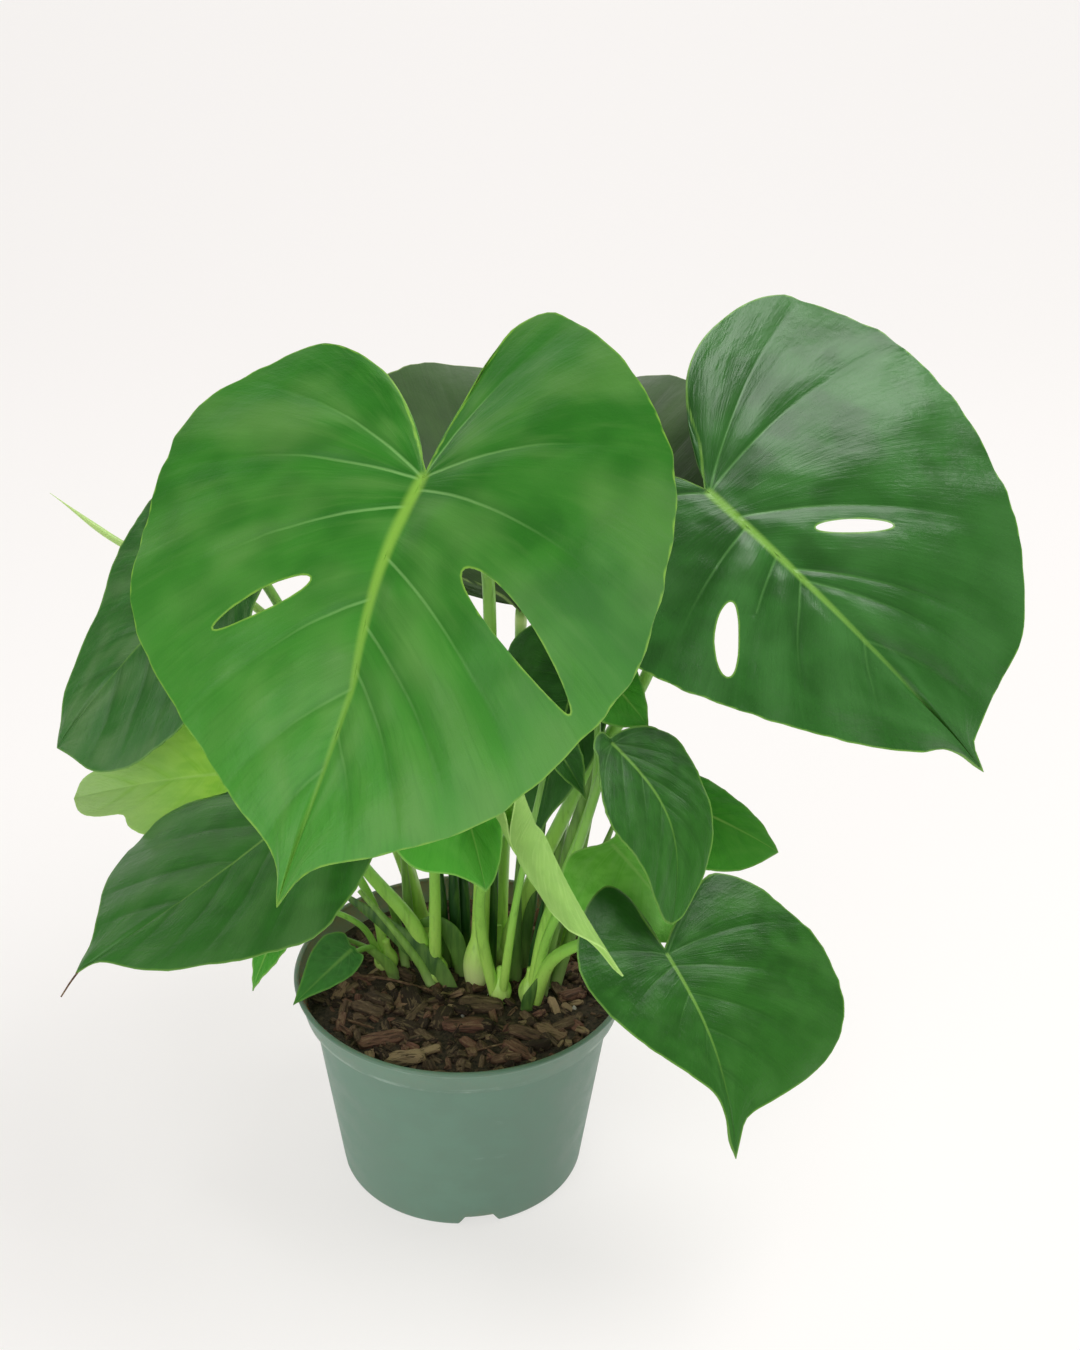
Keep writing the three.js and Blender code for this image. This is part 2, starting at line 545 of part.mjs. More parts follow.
// A sheet with thickness, split into triangles alike on both faces, with walls on its free edges
function sheetSolid(frame, places, faces) {
  const count = places.length;
  const positions = [];
  for (const upper of [true, false]) {
    for (const { along, sideways, onRib } of places) {
      const ribShare = onRib ? clamp(1 - (0.8 * along) / frame.length, 0, 1) : 0;
      const lift = upper ? BLADE_THICKNESS / 2 : -BLADE_THICKNESS / 2 - RIB_DEPTH * ribShare;
      positions.push(...frame.point(along, sideways, lift).toArray());
    }
  }
  const triangles = faces.flatMap(([a, b, c]) => [a, b, c, a + count, c + count, b + count]);
  const used = new Set(faces.flatMap(([a, b, c]) => [`${a} ${b}`, `${b} ${c}`, `${c} ${a}`]));
  for (const [a, b, c] of faces) {
    for (const [from, to] of [[a, b], [b, c], [c, a]]) {
      if (used.has(`${to} ${from}`)) continue;
      triangles.push(to, from, from + count, to, from + count, to + count);
    }
  }
  const geometry = new THREE.BufferGeometry();
  geometry.setAttribute('position', new THREE.Float32BufferAttribute(positions, 3));
  geometry.setIndex(triangles);
  return solidOf(geometry);
}

// Stalk: a tapered round tube along a smooth line
function stalk(points, startRadius, endRadius) {
  const sections = STALK_SECTIONS;
  const at = lineThrough(points);
  const positions = [];
  const triangles = [];
  const tangent = new THREE.Vector3();
  let across = new THREE.Vector3(0, 1, 0);
  for (let i = 0; i <= sections; i++) {
    const share = i / sections;
    tangent.subVectors(at(share + 0.01), at(share - 0.01)).normalize();
    across = across.clone().addScaledVector(tangent, -across.dot(tangent)).normalize();
    const over = new THREE.Vector3().crossVectors(tangent, across);
    const radius = mix(endRadius, startRadius, (1 - share) ** 1.6);
    for (let j = 0; j < STALK_SIDES; j++) {
      const angle = (2 * Math.PI * j) / STALK_SIDES;
      const point = at(share).addScaledVector(across, radius * Math.cos(angle));
      positions.push(...point.addScaledVector(over, radius * Math.sin(angle)).toArray());
    }
  }
  for (let i = 0; i < sections; i++) {
    for (let j = 0; j < STALK_SIDES; j++) {
      const [a, b] = [i * STALK_SIDES + j, i * STALK_SIDES + ((j + 1) % STALK_SIDES)];
      triangles.push(a, b, b + STALK_SIDES, a, b + STALK_SIDES, a + STALK_SIDES);
    }
  }
  for (let j = 1; j < STALK_SIDES - 1; j++) {
    const last = sections * STALK_SIDES;
    triangles.push(0, j + 1, j, last, last + j, last + j + 1);
  }
  const geometry = new THREE.BufferGeometry();
  geometry.setAttribute('position', new THREE.Float32BufferAttribute(positions, 3));
  geometry.setIndex(triangles);
  return solidOf(geometry);
}

// The block that trims a stalk just below the blade that it carries
function seat(leaf) {
  const frame = leafFrame(leaf);
  const size = 30;
  const below = BLADE_THICKNESS / 2 + RIB_DEPTH + GAP;
  const block = new THREE.BoxGeometry(size, size, size);
  const turn = new THREE.Matrix4().makeBasis(frame.forward, frame.aside, frame.normal);
  block.translate(0, 0, size / 2 - below);
  block.applyMatrix4(turn.setPosition(frame.junction));
  return solidOf(block);
}

// Plantlet: a short stem in the mix with the stalks of its leaves
function plantlet(name, { at, radius, height, stalks }) {
  const [x, y] = at;
  const top = MIX.top + height;
  const profile = [[0, STEM_FLOOR], [radius * 0.8, STEM_FLOOR], [radius, MIX.top + 4], [radius * 0.55, top], [0, top]];
  let solid = turned(profile, STALK_SIDES + 2).translate([x, y, 0]);
  const start = [x, y, MIX.top - 4];
  for (const { to, route, radius: thickness } of stalks) {
    const leaf = LEAVES[to];
    const tube = stalk([start, ...route, leaf.junction], ...thickness);
    solid = solid.add(largest(tube.subtract(seat(leaf))));
  }
  if (SPEAR.plantlet === name) solid = solid.add(stalk([start, ...SPEAR.route], ...SPEAR.radius));
  return meshOf(name, solid, FINISHES.stalk());
}

// Potting mix: fills the pot to below its rim, with bark chips on top and a plain hole for each stem
function pottingMix() {
  const ledge = POT.height - POT.collarDepth;
  const bodyRadius = POT.bodyTopRadius - POT.wall - GAP - 0.1;
  const collarRadius = POT.collarFootRadius - POT.wall - GAP - 0.1;
  const side = [
    [FLOOR_RADIUS - GAP, POT.floor + GAP],
    [FLOOR_RADIUS + 0.6, FOOT_RING.height + 0.2],
    [innerRadius(FOOT_RING.height) - GAP - 0.1, FOOT_RING.height + GAP + 0.1],
    [bodyRadius, ledge - 0.6],
    [collarRadius, ledge + POT.innerLedge + GAP + 0.2],
  ];
  const profile = [
    [0, POT.floor + GAP],
    ...side,
    [collarRadius, MIX.top],
    [collarRadius * 0.66, MIX.top + MIX.dome * 0.4],
    [collarRadius * 0.33, MIX.top + MIX.dome * 0.8],
    [0, MIX.top + MIX.dome],
  ];
  let solid = turned(profile, MIX.sides);
  const inside = turned([[0, POT.floor + GAP], ...side, [collarRadius, POT.height], [0, POT.height]], MIX.sides);
  const random = seeded(CHIPS.seed);
  const between = ([low, high]) => mix(low, high, random());
  for (let i = 0; i < CHIPS.count; i++) {
    const length = between(CHIPS.length);
    const chip = new THREE.BoxGeometry(length, length * between(CHIPS.aspect), between(CHIPS.thickness));
    const ring = Math.sqrt(mix(CHIPS.ring[0] ** 2, CHIPS.ring[1] ** 2, random()));
    const angle = 2 * Math.PI * ((i * CHIPS.turn) % 1);
    const tilt = new THREE.Euler(CHIPS.tilt * (random() - 0.5), CHIPS.tilt * (random() - 0.5), Math.PI * random());
    const height = MIX.top + MIX.dome * (1 - ring / collarRadius) + CHIPS.stand;
    solid = solid.add(placed(chip, new THREE.Vector3(ring * Math.cos(angle), ring * Math.sin(angle), height), tilt));
  }
  solid = solid.intersect(inside);
  for (const { at, radius } of Object.values(PLANTLETS)) {
    const depth = POT.height - STEM_FLOOR;
    const hole = new THREE.CylinderGeometry(radius + MIX.holeSlack, radius + MIX.holeSlack, depth, MIX.holeSides);
    const middle = new THREE.Vector3(at[0], at[1], STEM_FLOOR - GAP + depth / 2);
    solid = solid.subtract(placed(hole, middle, new THREE.Euler(Math.PI / 2, 0, 0)));
  }
  return meshOf('potting_mix', largest(solid), FINISHES.mix());
}

const plant = new THREE.Group();
plant.add(pot(), pottingMix());
for (const [name, stem] of Object.entries(PLANTLETS)) plant.add(plantlet(name, stem));
for (const [name, leaf] of Object.entries(LEAVES)) plant.add(blade(name, leaf, FINISHES[leaf.finish]()));

export default plant;
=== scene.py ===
"""Dresses the potted swiss cheese plant: blades, stalks, pot, potting mix, litter and a plain studio."""

import math

import bpy
import numpy as np
from mathutils import Matrix, Vector


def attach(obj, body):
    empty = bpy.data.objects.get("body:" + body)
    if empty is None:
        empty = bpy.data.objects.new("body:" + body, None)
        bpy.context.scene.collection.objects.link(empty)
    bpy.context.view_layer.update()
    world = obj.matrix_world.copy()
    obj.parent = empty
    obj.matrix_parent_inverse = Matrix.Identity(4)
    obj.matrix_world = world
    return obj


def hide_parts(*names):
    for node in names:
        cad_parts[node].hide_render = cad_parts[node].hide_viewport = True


bl_info = {
    "name": "Potted Swiss Cheese Plant",
    "version": (1, 0, 0),
    "blender": (4, 5, 0),
    "location": "View3D > Sidebar > House Plant",
    # Builds a young potted Monstera from listed leaf outlines
    "description": "Builds a young potted Monstera from hand-placed leaf outlines",
    "category": "Add Mesh",
}

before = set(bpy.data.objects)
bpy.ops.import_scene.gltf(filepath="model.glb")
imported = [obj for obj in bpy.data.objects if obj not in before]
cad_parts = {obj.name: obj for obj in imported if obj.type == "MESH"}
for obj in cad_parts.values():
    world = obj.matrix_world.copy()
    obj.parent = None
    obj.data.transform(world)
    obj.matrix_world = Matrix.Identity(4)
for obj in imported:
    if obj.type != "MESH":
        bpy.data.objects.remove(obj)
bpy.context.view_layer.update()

# Shapes are worked out in millimetres, as in the part's source, and meshes are made in metres
MM = 0.001
MM_PER_M = 1000
BODY = "root"

# Camera: its place in metres, tilt and roll in degrees, and a lens of 2000 pixels for a view 1350 pixels high
CAMERA = {
    "at": (0.034, -0.757, 0.658), "pitch": 27.8, "roll": 0.93, "lens": 2000, "long_side": 1350, "sensor": 36,
}
# Lights: place and target in metres, size and power, then the strength of the surroundings
LIGHTS = {
    "window": ((0.9, -0.05, 1.95), (0, 0, 0.25), 1.25, 32),
    "fill": ((-1.1, -1.9, 0.8), (0, 0, 0.2), 2.2, 30),
}
WORLD_STRENGTH = 0.26
# Backdrop in metres: where its floor starts and bends up, the bend's radius, its top and its half width
BACKDROP = {"front": -3.0, "bend": 1.2, "radius": 0.8, "top": 4.0, "side": 4.0}
CARD_GLOW = 0.64

# Nursery pot: the sizes of the part's source
POT = {
    "height": 105, "rim": 77.5, "lip": 2.4, "collar_depth": 14, "collar_foot": 73.5, "body_top": 69.5,
    "base": 57, "foot_round": 3, "wall": 1.4, "floor": 2, "ledge": 1.5, "sides": 192,
}
FOOT_RING = {"height": 8, "reach": 13.5}
FOOT_NOTCH = {"count": 4, "first_angle": -80, "width": 22, "top_width": 13, "height": 6, "reach": 12}
DRAIN_HOLE = {"count": 4, "first_angle": -35, "radius": 5, "ring": 36}
FLOOR_RADIUS = POT["base"] - FOOT_RING["reach"] - 1
COLLAR_START = POT["height"] - POT["collar_depth"]

# Potting mix
MIX = {"top": 94, "dome": 3, "rings": 56, "spokes": 144, "radius": POT["collar_foot"] - POT["wall"] - 0.4}
# Lumps of its top: height, size and seed
MIX_LUMPS = ((0.9, 9.0, 3), (0.5, 3.0, 4))
# Larger bark slabs, placed by the same seeded rule as in the part's source, and the first seed of those that
# lie where the photo shows them
SLAB_LITTER_SEED = 60
SLABS = {
    "count": 28, "seed": 7, "length": (10, 24), "aspect": (0.35, 0.6), "thickness": (3, 5.5),
    "ring": (18, 62), "turn": 0.618, "tilt": 0.5, "stand": 1.2,
}
# A piece of bark: the corners of its outline, and the height and size of its layers as shares
BARK_CORNERS = 14
BARK_LAYERS = [(-0.5, 0.8), (-0.35, 0.97), (0.0, 1.0), (0.3, 0.98), (0.5, 0.82)]
# The ground that small litter is scattered over
GROUND = {"rings": 16, "spokes": 40, "outer": POT["collar_foot"] - POT["wall"] - 5, "inner": 4}
# Small litter: size of a piece, seeds of its shape and of its places, and its smallest and largest scale
LITTER = {
    "bark_splinters": ((12.5, 3.6, 2.2), 40, 14, (0.35, 1.4)),
    "bark_chunks": ((6.4, 4.8, 3.2), 40, 11, (0.35, 1.4)),
    "perlite": ((2.6, 2.2, 2.0), 41, 5, (0.4, 1.0)),
}
# How much of it lies on the mix: perlite per square metre, and chips as shares of the add-on's setting
PERLITE_PER_AREA = 2600.0
CHIP_SHARES = {"bark_splinters": 0.62, "bark_chunks": 0.5}
CHIP_TURNS = (0.9, 0.9, 6.28)
CHIP_TONE_SEED = 11

# Blades: how far the margins reach back behind the stalk, how much of the droop the lobes share, how far side
# veins arch and at which half width in full, the rows next to a vein, and the waves along a blade
SINUS = 3
LOBE_DROOP = 0.6
VEIN_ARCH = 0.12
VEIN_SPREAD = 12
VEIN_NEAR = 0.0042
WAVES = 2
# A midrib's depth below the blade, how far one lies aside, a margin that curls up, how far a furled blade is
# turned round its midrib in degrees, and how uneven a margin is as a share of the width
RIB_DEPTH = 1.8
RIB_SHIFT = {"front_leaf": -4.5}
EDGE_CURL = {"front_leaf": {"side": 1, "rows": (0.02, 0.24), "rise": 3}}
TWIST = 90
SCALLOP = 0.003
# Grids of a blade, with the scale of its veins and pillows, and the rings of faces that lead to a slot
SLOT_RINGS = (0.3, 0.55, 0.75, 0.9, 1.0)
GRIDS = {
    "large": {"rows": 104, "columns": 26, "scale": 1.0},
    "middle": {"rows": 66, "columns": 19, "scale": 0.6},
    "small": {"rows": 46, "columns": 14, "scale": 0.35},
}
# Stems: the height of their foot, how far below the top of the mix a stalk starts, how pale a stem is, how
# slim the finer stalks are, and how far below a blade its stalk ends, apart from the midrib
STEM_FLOOR = 78
STALK_START = 4
STEM_PALE = {"middle_plantlet": 1.0, "front_plantlet": 0.5}
PLAIN_STEM_PALE = 0.25
STEM_SLIMNESS = 0.86
SEAT_GAP = 0.7
# A stalk's knee below its blade: how much thicker it is, and its middle and spread as shares of the stalk
KNEE = {"swell": 0.22, "at": 0.95, "spread": 0.035}

# A leaf without anything of its own: roll, droop and folds are in degrees, bow, cup and ripple in millimetres
PLAIN_LEAF = {
    "roll": 0, "droop": 20, "bow": 0, "lobe_fold": (0, 0), "tip_fold": (0, 0), "cup": (0, 0), "ripple": 0.5,
    "grid": "small", "finish": "dark",
}
# Where each leaf joins its stalk and where its tip lies, what differs from the plain leaf, and its two
# halves: lengths along the midrib and distances from it, from the sinus round to the tip. A leaf that lists
# only its left half has both alike. A slot lies at a row between side veins and a share of the way across
LEAVES = {
    "front_leaf": {
        "junction": (-11, -60, 373), "tip": (-61, -150, 240), "droop": 25, "bow": 6, "lobe_fold": (24, 4),
        "tip_fold": (4, 6), "cup": (26, 14), "ripple": 1.5, "grid": "large", "finish": "front",
        "left": [(-32, 3), (-54, 6), (-67, 10), (-75, 21), (-68, 42), (-43, 80), (-9, 107), (34, 108),
            (77, 91), (117, 66), (139, 34), (153, 9)],
        "right": [(-13, 8), (-31, 24), (-42, 40), (-48, 73), (-30, 96), (-5, 115), (47, 116), (85, 101),
            (112, 67), (136, 31), (153, 7)],
        "slots": [
            {"side": 1, "row": 0.674, "across": 0.628, "half_width": 0.0205,
             "reach": 0.29, "taper": 0.5, "skew": 0.004},
            {"side": -1, "row": 0.7075, "across": 0.502, "half_width": 0.014,
             "reach": 0.214, "taper": 0.24, "skew": 0},
        ],
    },
    "right_leaf": {
        "junction": (102, 0, 344), "tip": (224, -20, 226), "roll": -48, "lobe_fold": (-4, 0),
        "tip_fold": (4, 0), "cup": (14, 14), "ripple": 1.5, "grid": "large",
        "left": [(-16, 13), (-31, 24), (-40, 36), (-44, 60), (-33, 95), (-4, 110), (31, 115), (63, 111),
            (98, 96), (127, 77), (144, 57), (151, 33), (155, 15), (159, 5), (167, 1.6)],
        "right": [(-16, 5), (-32, 18), (-42, 40), (-36, 64), (-12, 78), (24, 74), (58, 63), (92, 47),
            (122, 30), (141, 16), (150, 6.5), (158, 2.8), (167, 1.4)],
        "slots": [
            {"side": 1, "row": 0.746, "across": 0.35, "half_width": 0.0114,
             "reach": 0.145, "taper": 0.12, "skew": -0.0055},
            {"side": -1, "row": 0.579, "across": 0.6315, "half_width": 0.022,
             "reach": 0.205, "taper": 0.02, "skew": 0.012},
        ],
    },
    "back_leaf": {
        "junction": (25, 40, 272), "tip": (46, 190, 316), "droop": 75, "lobe_fold": (34, 30),
        "tip_fold": (20, 22), "ripple": 1.5, "grid": "middle",
        "left": [(3, 8), (7, 24), (10, 48), (16, 72), (28, 88), (50, 92), (82, 82), (114, 62), (142, 34),
            (157, 12)],
        "right": [(3, 8), (6, 24), (5, 46), (9, 70), (23, 87), (46, 93), (78, 84), (112, 62), (142, 32),
            (157, 12)],
    },
    "rear_leaf": {
        "junction": (-18, 72, 186), "tip": (-40, 150, 140), "roll": -10, "droop": 30, "lobe_fold": (6, 6),
        "tip_fold": (4, 4), "cup": (4, 4), "ripple": 1.5, "grid": "middle",
        "left": [(-8, 6), (-18, 18), (-20, 32), (-8, 43), (16, 46), (44, 38), (68, 24), (86, 10)],
    },
    "left_leaf": {
        "junction": (-99, 25, 303), "tip": (-178, 5, 216), "roll": 40, "droop": 22, "cup": (8, 8),
        "ripple": 2, "grid": "middle",
        "left": [(-6, 5), (-10, 14), (-4, 20), (8, 25), (23, 37), (45, 42), (62, 40), (80, 38), (102, 31),
            (114, 20), (117, 7)],
        "right": [(-8, 5), (-20, 16), (-24, 32), (-10, 48), (14, 52), (35, 45), (59, 30), (89, 19), (109, 8)],
    },
    "bright_leaf": {
        "junction": (-105, 12, 200), "tip": (-173, 5, 190), "roll": 30, "lobe_fold": (20, 20),
        "tip_fold": (15, 15), "ripple": 1, "finish": "young",
        "left": [(-6, 5), (-10, 16), (0, 29), (20, 34), (36, 30), (43, 24), (46, 16), (58, 14), (66, 9)],
        "right": [(-6, 5), (-10, 16), (2, 26), (24, 27), (44, 18), (56, 11), (65, 7)],
    },
    "lower_left_leaf": {
        "junction": (-50, -50, 232), "tip": (-155, -88, 163), "roll": 8, "bow": 9, "cup": (8, 8),
        "ripple": 1.5, "grid": "middle",
        "left": [(-10, 6), (-20, 22), (-12, 38), (1, 45), (29, 57), (54, 49), (79, 37), (102, 22), (120, 3)],
        "right": [(-10, 6), (-20, 22), (-12, 38), (10, 44), (40, 44), (66, 60), (87, 60), (106, 42),
            (117, 16), (127, 5)],
    },
    "lower_right_leaf": {
        "junction": (88, -85, 175), "tip": (117, -128, 105), "roll": -8, "bow": 5, "lobe_fold": (6, 6),
        "cup": (8, 8), "ripple": 1, "grid": "middle",
        "left": [(-10, 7), (-20, 21), (-25, 32), (-18, 45), (-2, 58), (24, 67), (50, 65), (66, 48), (71, 22),
            (74, 7), (81, 2.6)],
        "right": [(-14, 3), (-28, 6), (-35, 13), (-28, 27), (-9, 38), (7, 37), (28, 29), (48, 14), (60, 5),
            (70, 2.6), (80, 2.2)],
    },
    "glossy_leaf": {
        "junction": (64, -50, 254), "tip": (89, -85, 190), "roll": -12, "droop": 18, "bow": 12,
        "lobe_fold": (5, 30), "tip_fold": (0, 20), "cup": (5, 0), "grid": "middle",
        "left": [(-4, 4), (-4, 12), (-1, 21), (5, 25), (24, 22), (45, 19), (64, 13), (76, 5)],
        "right": [(-6, 3), (-4, 8), (3, 12), (11, 19), (22, 26), (32, 28), (49, 19), (64, 12), (75, 4)],
    },
    "shoulder_leaf": {
        "junction": (90, -5, 202), "tip": (141, -8, 176), "roll": -40, "droop": 30, "cup": (5, 9),
        "finish": "middle",
        "left": [(-4, 4), (-7, 11), (2, 15), (18, 16), (31, 13), (44, 9), (54, 3)],
        "right": [(-4, 4), (-8, 12), (0, 20), (16, 24), (31, 21), (45, 15), (55, 4)],
    },
    "low_leaf": {
        "junction": (66, -42, 200), "tip": (100, -70, 168), "roll": -15, "cup": (4, 6), "finish": "middle",
        "left": [(-3, 4), (-5, 8), (4, 11), (18, 12), (34, 10), (46, 5)],
        "right": [(-4, 5), (-8, 16), (-3, 26), (8, 31), (22, 28), (38, 18), (48, 7)],
    },
    "upper_bright_leaf": {
        "junction": (57, -22, 276), "tip": (79, -37, 255), "roll": -30, "cup": (3, 5), "finish": "middle",
        "left": [(-4, 5), (-3, 11), (6, 14), (16, 11), (26, 6)],
        "right": [(-3, 4), (-3, 9), (5, 14), (15, 15), (26, 10)],
    },
    "under_leaf": {
        "junction": (-6, -58, 263), "tip": (14, -96, 212), "droop": 25, "lobe_fold": (6, 6), "cup": (4, 5),
        "finish": "middle",
        "left": [(-5, 4), (-6, 9), (2, 13), (18, 15), (36, 15), (52, 11), (63, 5)],
        "right": [(-5, 5), (-9, 16), (0, 27), (18, 33), (38, 32), (51, 26), (58, 11), (64, 3)],
    },
    "furled_leaf": {
        "junction": (23, -81, 243), "tip": (66, -124, 191), "roll": -38, "droop": 12, "bow": -3,
        "finish": "young", "curl": (7, 2.8),
        "left": [(-8, 9), (2, 18), (26, 19), (46, 14), (60, 7), (68, 3), (77, 1.6)],
        "right": [(-12, 9), (-6, 17), (16, 20), (40, 15), (57, 7), (67, 3), (77, 1.6)],
    },
    "hidden_leaf": {
        "junction": (50, -5, 262), "tip": (34, -28, 192), "cup": (3, 4),
        "left": [(-6, 4), (-12, 12), (-4, 18), (12, 20), (30, 19), (50, 11), (65, 3)],
        "right": [(-6, 6), (-15, 20), (-15, 30), (-5, 38), (16, 38), (40, 28), (60, 13)],
    },
    "rim_leaf": {
        "junction": (-50, -12, 122), "tip": (-74, -36, 109), "roll": 30, "lobe_fold": (8, 8),
        "tip_fold": (8, 8), "cup": (1, 2), "ripple": 0,
        "left": [(-2, 2), (-2, 6), (7, 9), (18, 7), (28, 3)],
        "right": [(-2, 2), (-4, 8), (2, 13), (13, 12), (25, 6)],
    },
    "hanging_leaf": {
        "junction": (-78, -18, 144), "tip": (-92, -34, 115), "lobe_fold": (8, 8), "tip_fold": (8, 8),
        "cup": (1, 1), "ripple": 0, "finish": "middle",
        "left": [(-2, 2), (-2, 7), (6, 10), (18, 8), (29, 3)],
    },
    "curled_leaf": {
        "junction": (38, -38, 250), "tip": (54, -48, 226), "roll": -20, "lobe_fold": (30, 30),
        "tip_fold": (20, 20), "ripple": 0, "finish": "middle",
        "left": [(-2, 2), (-1, 6), (7, 8), (17, 6), (25, 2)],
    },
}

# Where each stem stands in the mix, its radius and height, and its stalks: the leaf that each carries, its
# route from the stem upwards and its radius at the foot and at the leaf
PLANTLETS = {
    "left_plantlet": {"at": (-36, 11), "radius": 6, "height": 16, "stalks": [
        ("rim_leaf", [(-42, 4, 112), (-49, -6, 117)], (2.6, 1.4)),
        ("hanging_leaf", [(-46, 4, 124), (-65, -7, 141), (-73, -13, 141)], (2.4, 1.3)),
        ("bright_leaf", [(-42, 14, 130), (-68, 20, 170), (-97, 18, 189)], (3.2, 1.8)),
    ]},
    "front_left_plantlet": {"at": (-13, 3), "radius": 7, "height": 18, "stalks": [
        ("lower_left_leaf", [(-21, 2, 124), (-46, -10, 172), (-46, -36, 218)], (5, 2.4)),
        ("under_leaf", [(-12, -4, 150), (-12, -20, 218), (-10, -41, 250)], (4, 2)),
    ]},
    "middle_plantlet": {"at": (7, 0), "radius": 6.8, "height": 36, "stalks": [
        ("front_leaf", [(9, 3, 150), (12, 6, 230), (11, 0, 310), (4, -28, 348)], (5.5, 2.8)),
    ]},
    "front_plantlet": {"at": (18, -12), "radius": 5.6, "height": 18, "stalks": [
        ("furled_leaf", [(11, -15, 124), (9, -24, 158), (17, -52, 208)], (3.8, 2.2)),
        ("curled_leaf", [(24, -22, 150), (31, -34, 200), (37, -36, 236)], (3, 1.4)),
    ]},
    "right_plantlet": {"at": (32, -12), "radius": 6, "height": 18, "stalks": [
        ("glossy_leaf", [(38, -16, 140), (51, -30, 190), (61, -42, 238)], (4.5, 2.2)),
        ("lower_right_leaf", [(42, -24, 128), (68, -50, 158), (82, -70, 166)], (4.5, 2.2)),
        ("low_leaf", [(40, -20, 140), (54, -30, 176), (62, -36, 190)], (3.6, 1.8)),
    ]},
    "back_plantlet": {"at": (16, 20), "radius": 8, "height": 20, "stalks": [
        ("right_leaf", [(30, 12, 140), (57, -6, 219), (77, -13, 262), (97, -8, 322)], (5.5, 2.8)),
        ("back_leaf", [(18, 26, 150), (22, 36, 220), (25, 44, 260)], (5, 2.6)),
    ]},
    "back_right_plantlet": {"at": (40, 8), "radius": 6, "height": 16, "stalks": [
        ("shoulder_leaf", [(50, 6, 130), (72, 2, 172), (86, 0, 192)], (4, 2)),
        ("upper_bright_leaf", [(42, -12, 150), (53, -22, 196), (58, -30, 224), (58, -27, 260)], (3.4, 1.6)),
        ("hidden_leaf", [(43, 13, 150), (51, 18, 210), (54, 8, 246)], (4, 2)),
    ]},
    "back_left_plantlet": {"at": (-16, 26), "radius": 7, "height": 20, "stalks": [
        ("left_leaf", [(-26, 24, 140), (-52, 27, 210), (-88, 34, 286)], (5, 2.5)),
        ("rear_leaf", [(-14, 42, 140), (-17, 58, 166), (-18, 68, 178)], (4.2, 2)),
    ]},
}
# The rolled new leaf: a stalk that ends in a slender point
SPEAR = {"plantlet": "back_left_plantlet", "radius": (4, 1.5),
         "route": [(-30, 34, 150), (-60, 48, 222), (-106, 64, 266), (-153, 66, 286), (-185, 65, 312)]}
# Young shoots and leaf sheaths between the stems: route from the mix upwards, half widths along it,
# thickness as a share of the width, and how dark they are: partly old sheaths' own dark green, partly painted
# shade in the gaps between the stems
SHOOTS = [
    ([(-2, -4, 90), (-9, -3, 103), (-19, -1, 113), (-35, 1, 128), (-52, 3, 141)],
     (2, 4.6, 5.4, 3.4, 1.4), 0.22, 0.8),
    ([(0, 5, 90), (-2, 6, 110), (-7, 6, 122), (-15, 6, 126), (-24, 6, 121)],
     (2, 3.4, 4.6, 4, 0.6), 0.22, 0.65),
    ([(-12, -4, 90), (-17, -2, 104), (-30, 0, 124), (-47, 4, 144)], (2.6, 2.4, 1.7, 1), 0.9, 0.35),
    ([(-31, 6, 90), (-34, 5, 101), (-43, 3, 112), (-57, 0, 122)], (3.4, 2.6, 1.4, 0.8), 0.9, 0.3),
    ([(-26, 10, 90), (-30, 12, 118), (-36, 12, 140), (-46, 10, 158)], (2.2, 2, 1.8, 0.6), 0.9, 0.5),
    ([(-23, 17, 90), (-26, 18, 130), (-29, 18, 176)], (2.6, 2.2, 0.5), 1, 0.4),
    ([(-8, 12, 90), (-10, 15, 130), (-13, 18, 178)], (3, 2.6, 0.5), 1, 0.9),
    ([(-3, 13, 90), (-4, 15, 130), (-6, 18, 184)], (3, 2.6, 0.5), 1, 0.95),
    ([(1, 18, 90), (0, 22, 130), (-1, 27, 180)], (3.2, 2.8, 0.5), 1, 1),
    ([(13, 8, 90), (14, 8, 130), (16, 6, 186)], (2.6, 2.2, 0.5), 1, 0.9),
    ([(25, 2, 90), (25, 1, 130), (26, 0, 178)], (3.2, 2.4, 0.5), 0.8, 0.7),
    ([(27, 12, 90), (31, 11, 130), (38, 8, 186)], (3, 2.6, 0.5), 1, 0.8),
    ([(37, -2, 90), (40, -5, 130), (47, -12, 172)], (2.8, 2.2, 0.5), 0.9, 0.4),
    ([(38, 4, 90), (45, 3, 130), (52, 0, 160), (60, -3, 206)], (3, 2.6, 2.2, 0.5), 1, 0.35),
    ([(42, 0, 90), (52, -1, 132), (59, -3, 158), (70, -6, 196)], (3, 2.6, 2.2, 0.5), 1, 0.5),
    ([(34, 9, 90), (40, 9, 140), (44, 7, 170), (50, 4, 214)], (3, 2.8, 2.4, 0.5), 1, 0.6),
    ([(33, -3, 90), (34, -5, 112), (37, -9, 150)], (3.4, 3.2, 0.5), 0.8, 1),
    ([(36, -7, 90), (41, -12, 135), (46, -14, 158), (51, -20, 194), (57, -26, 223), (60, -29, 238)],
     (3.2, 3.6, 4, 4.4, 3, 0.5), 0.4, 0.55),
    ([(30, -18, 90), (31, -19, 101), (36, -21, 116)], (2.8, 2.8, 0.5), 0.4, 0.75),
]
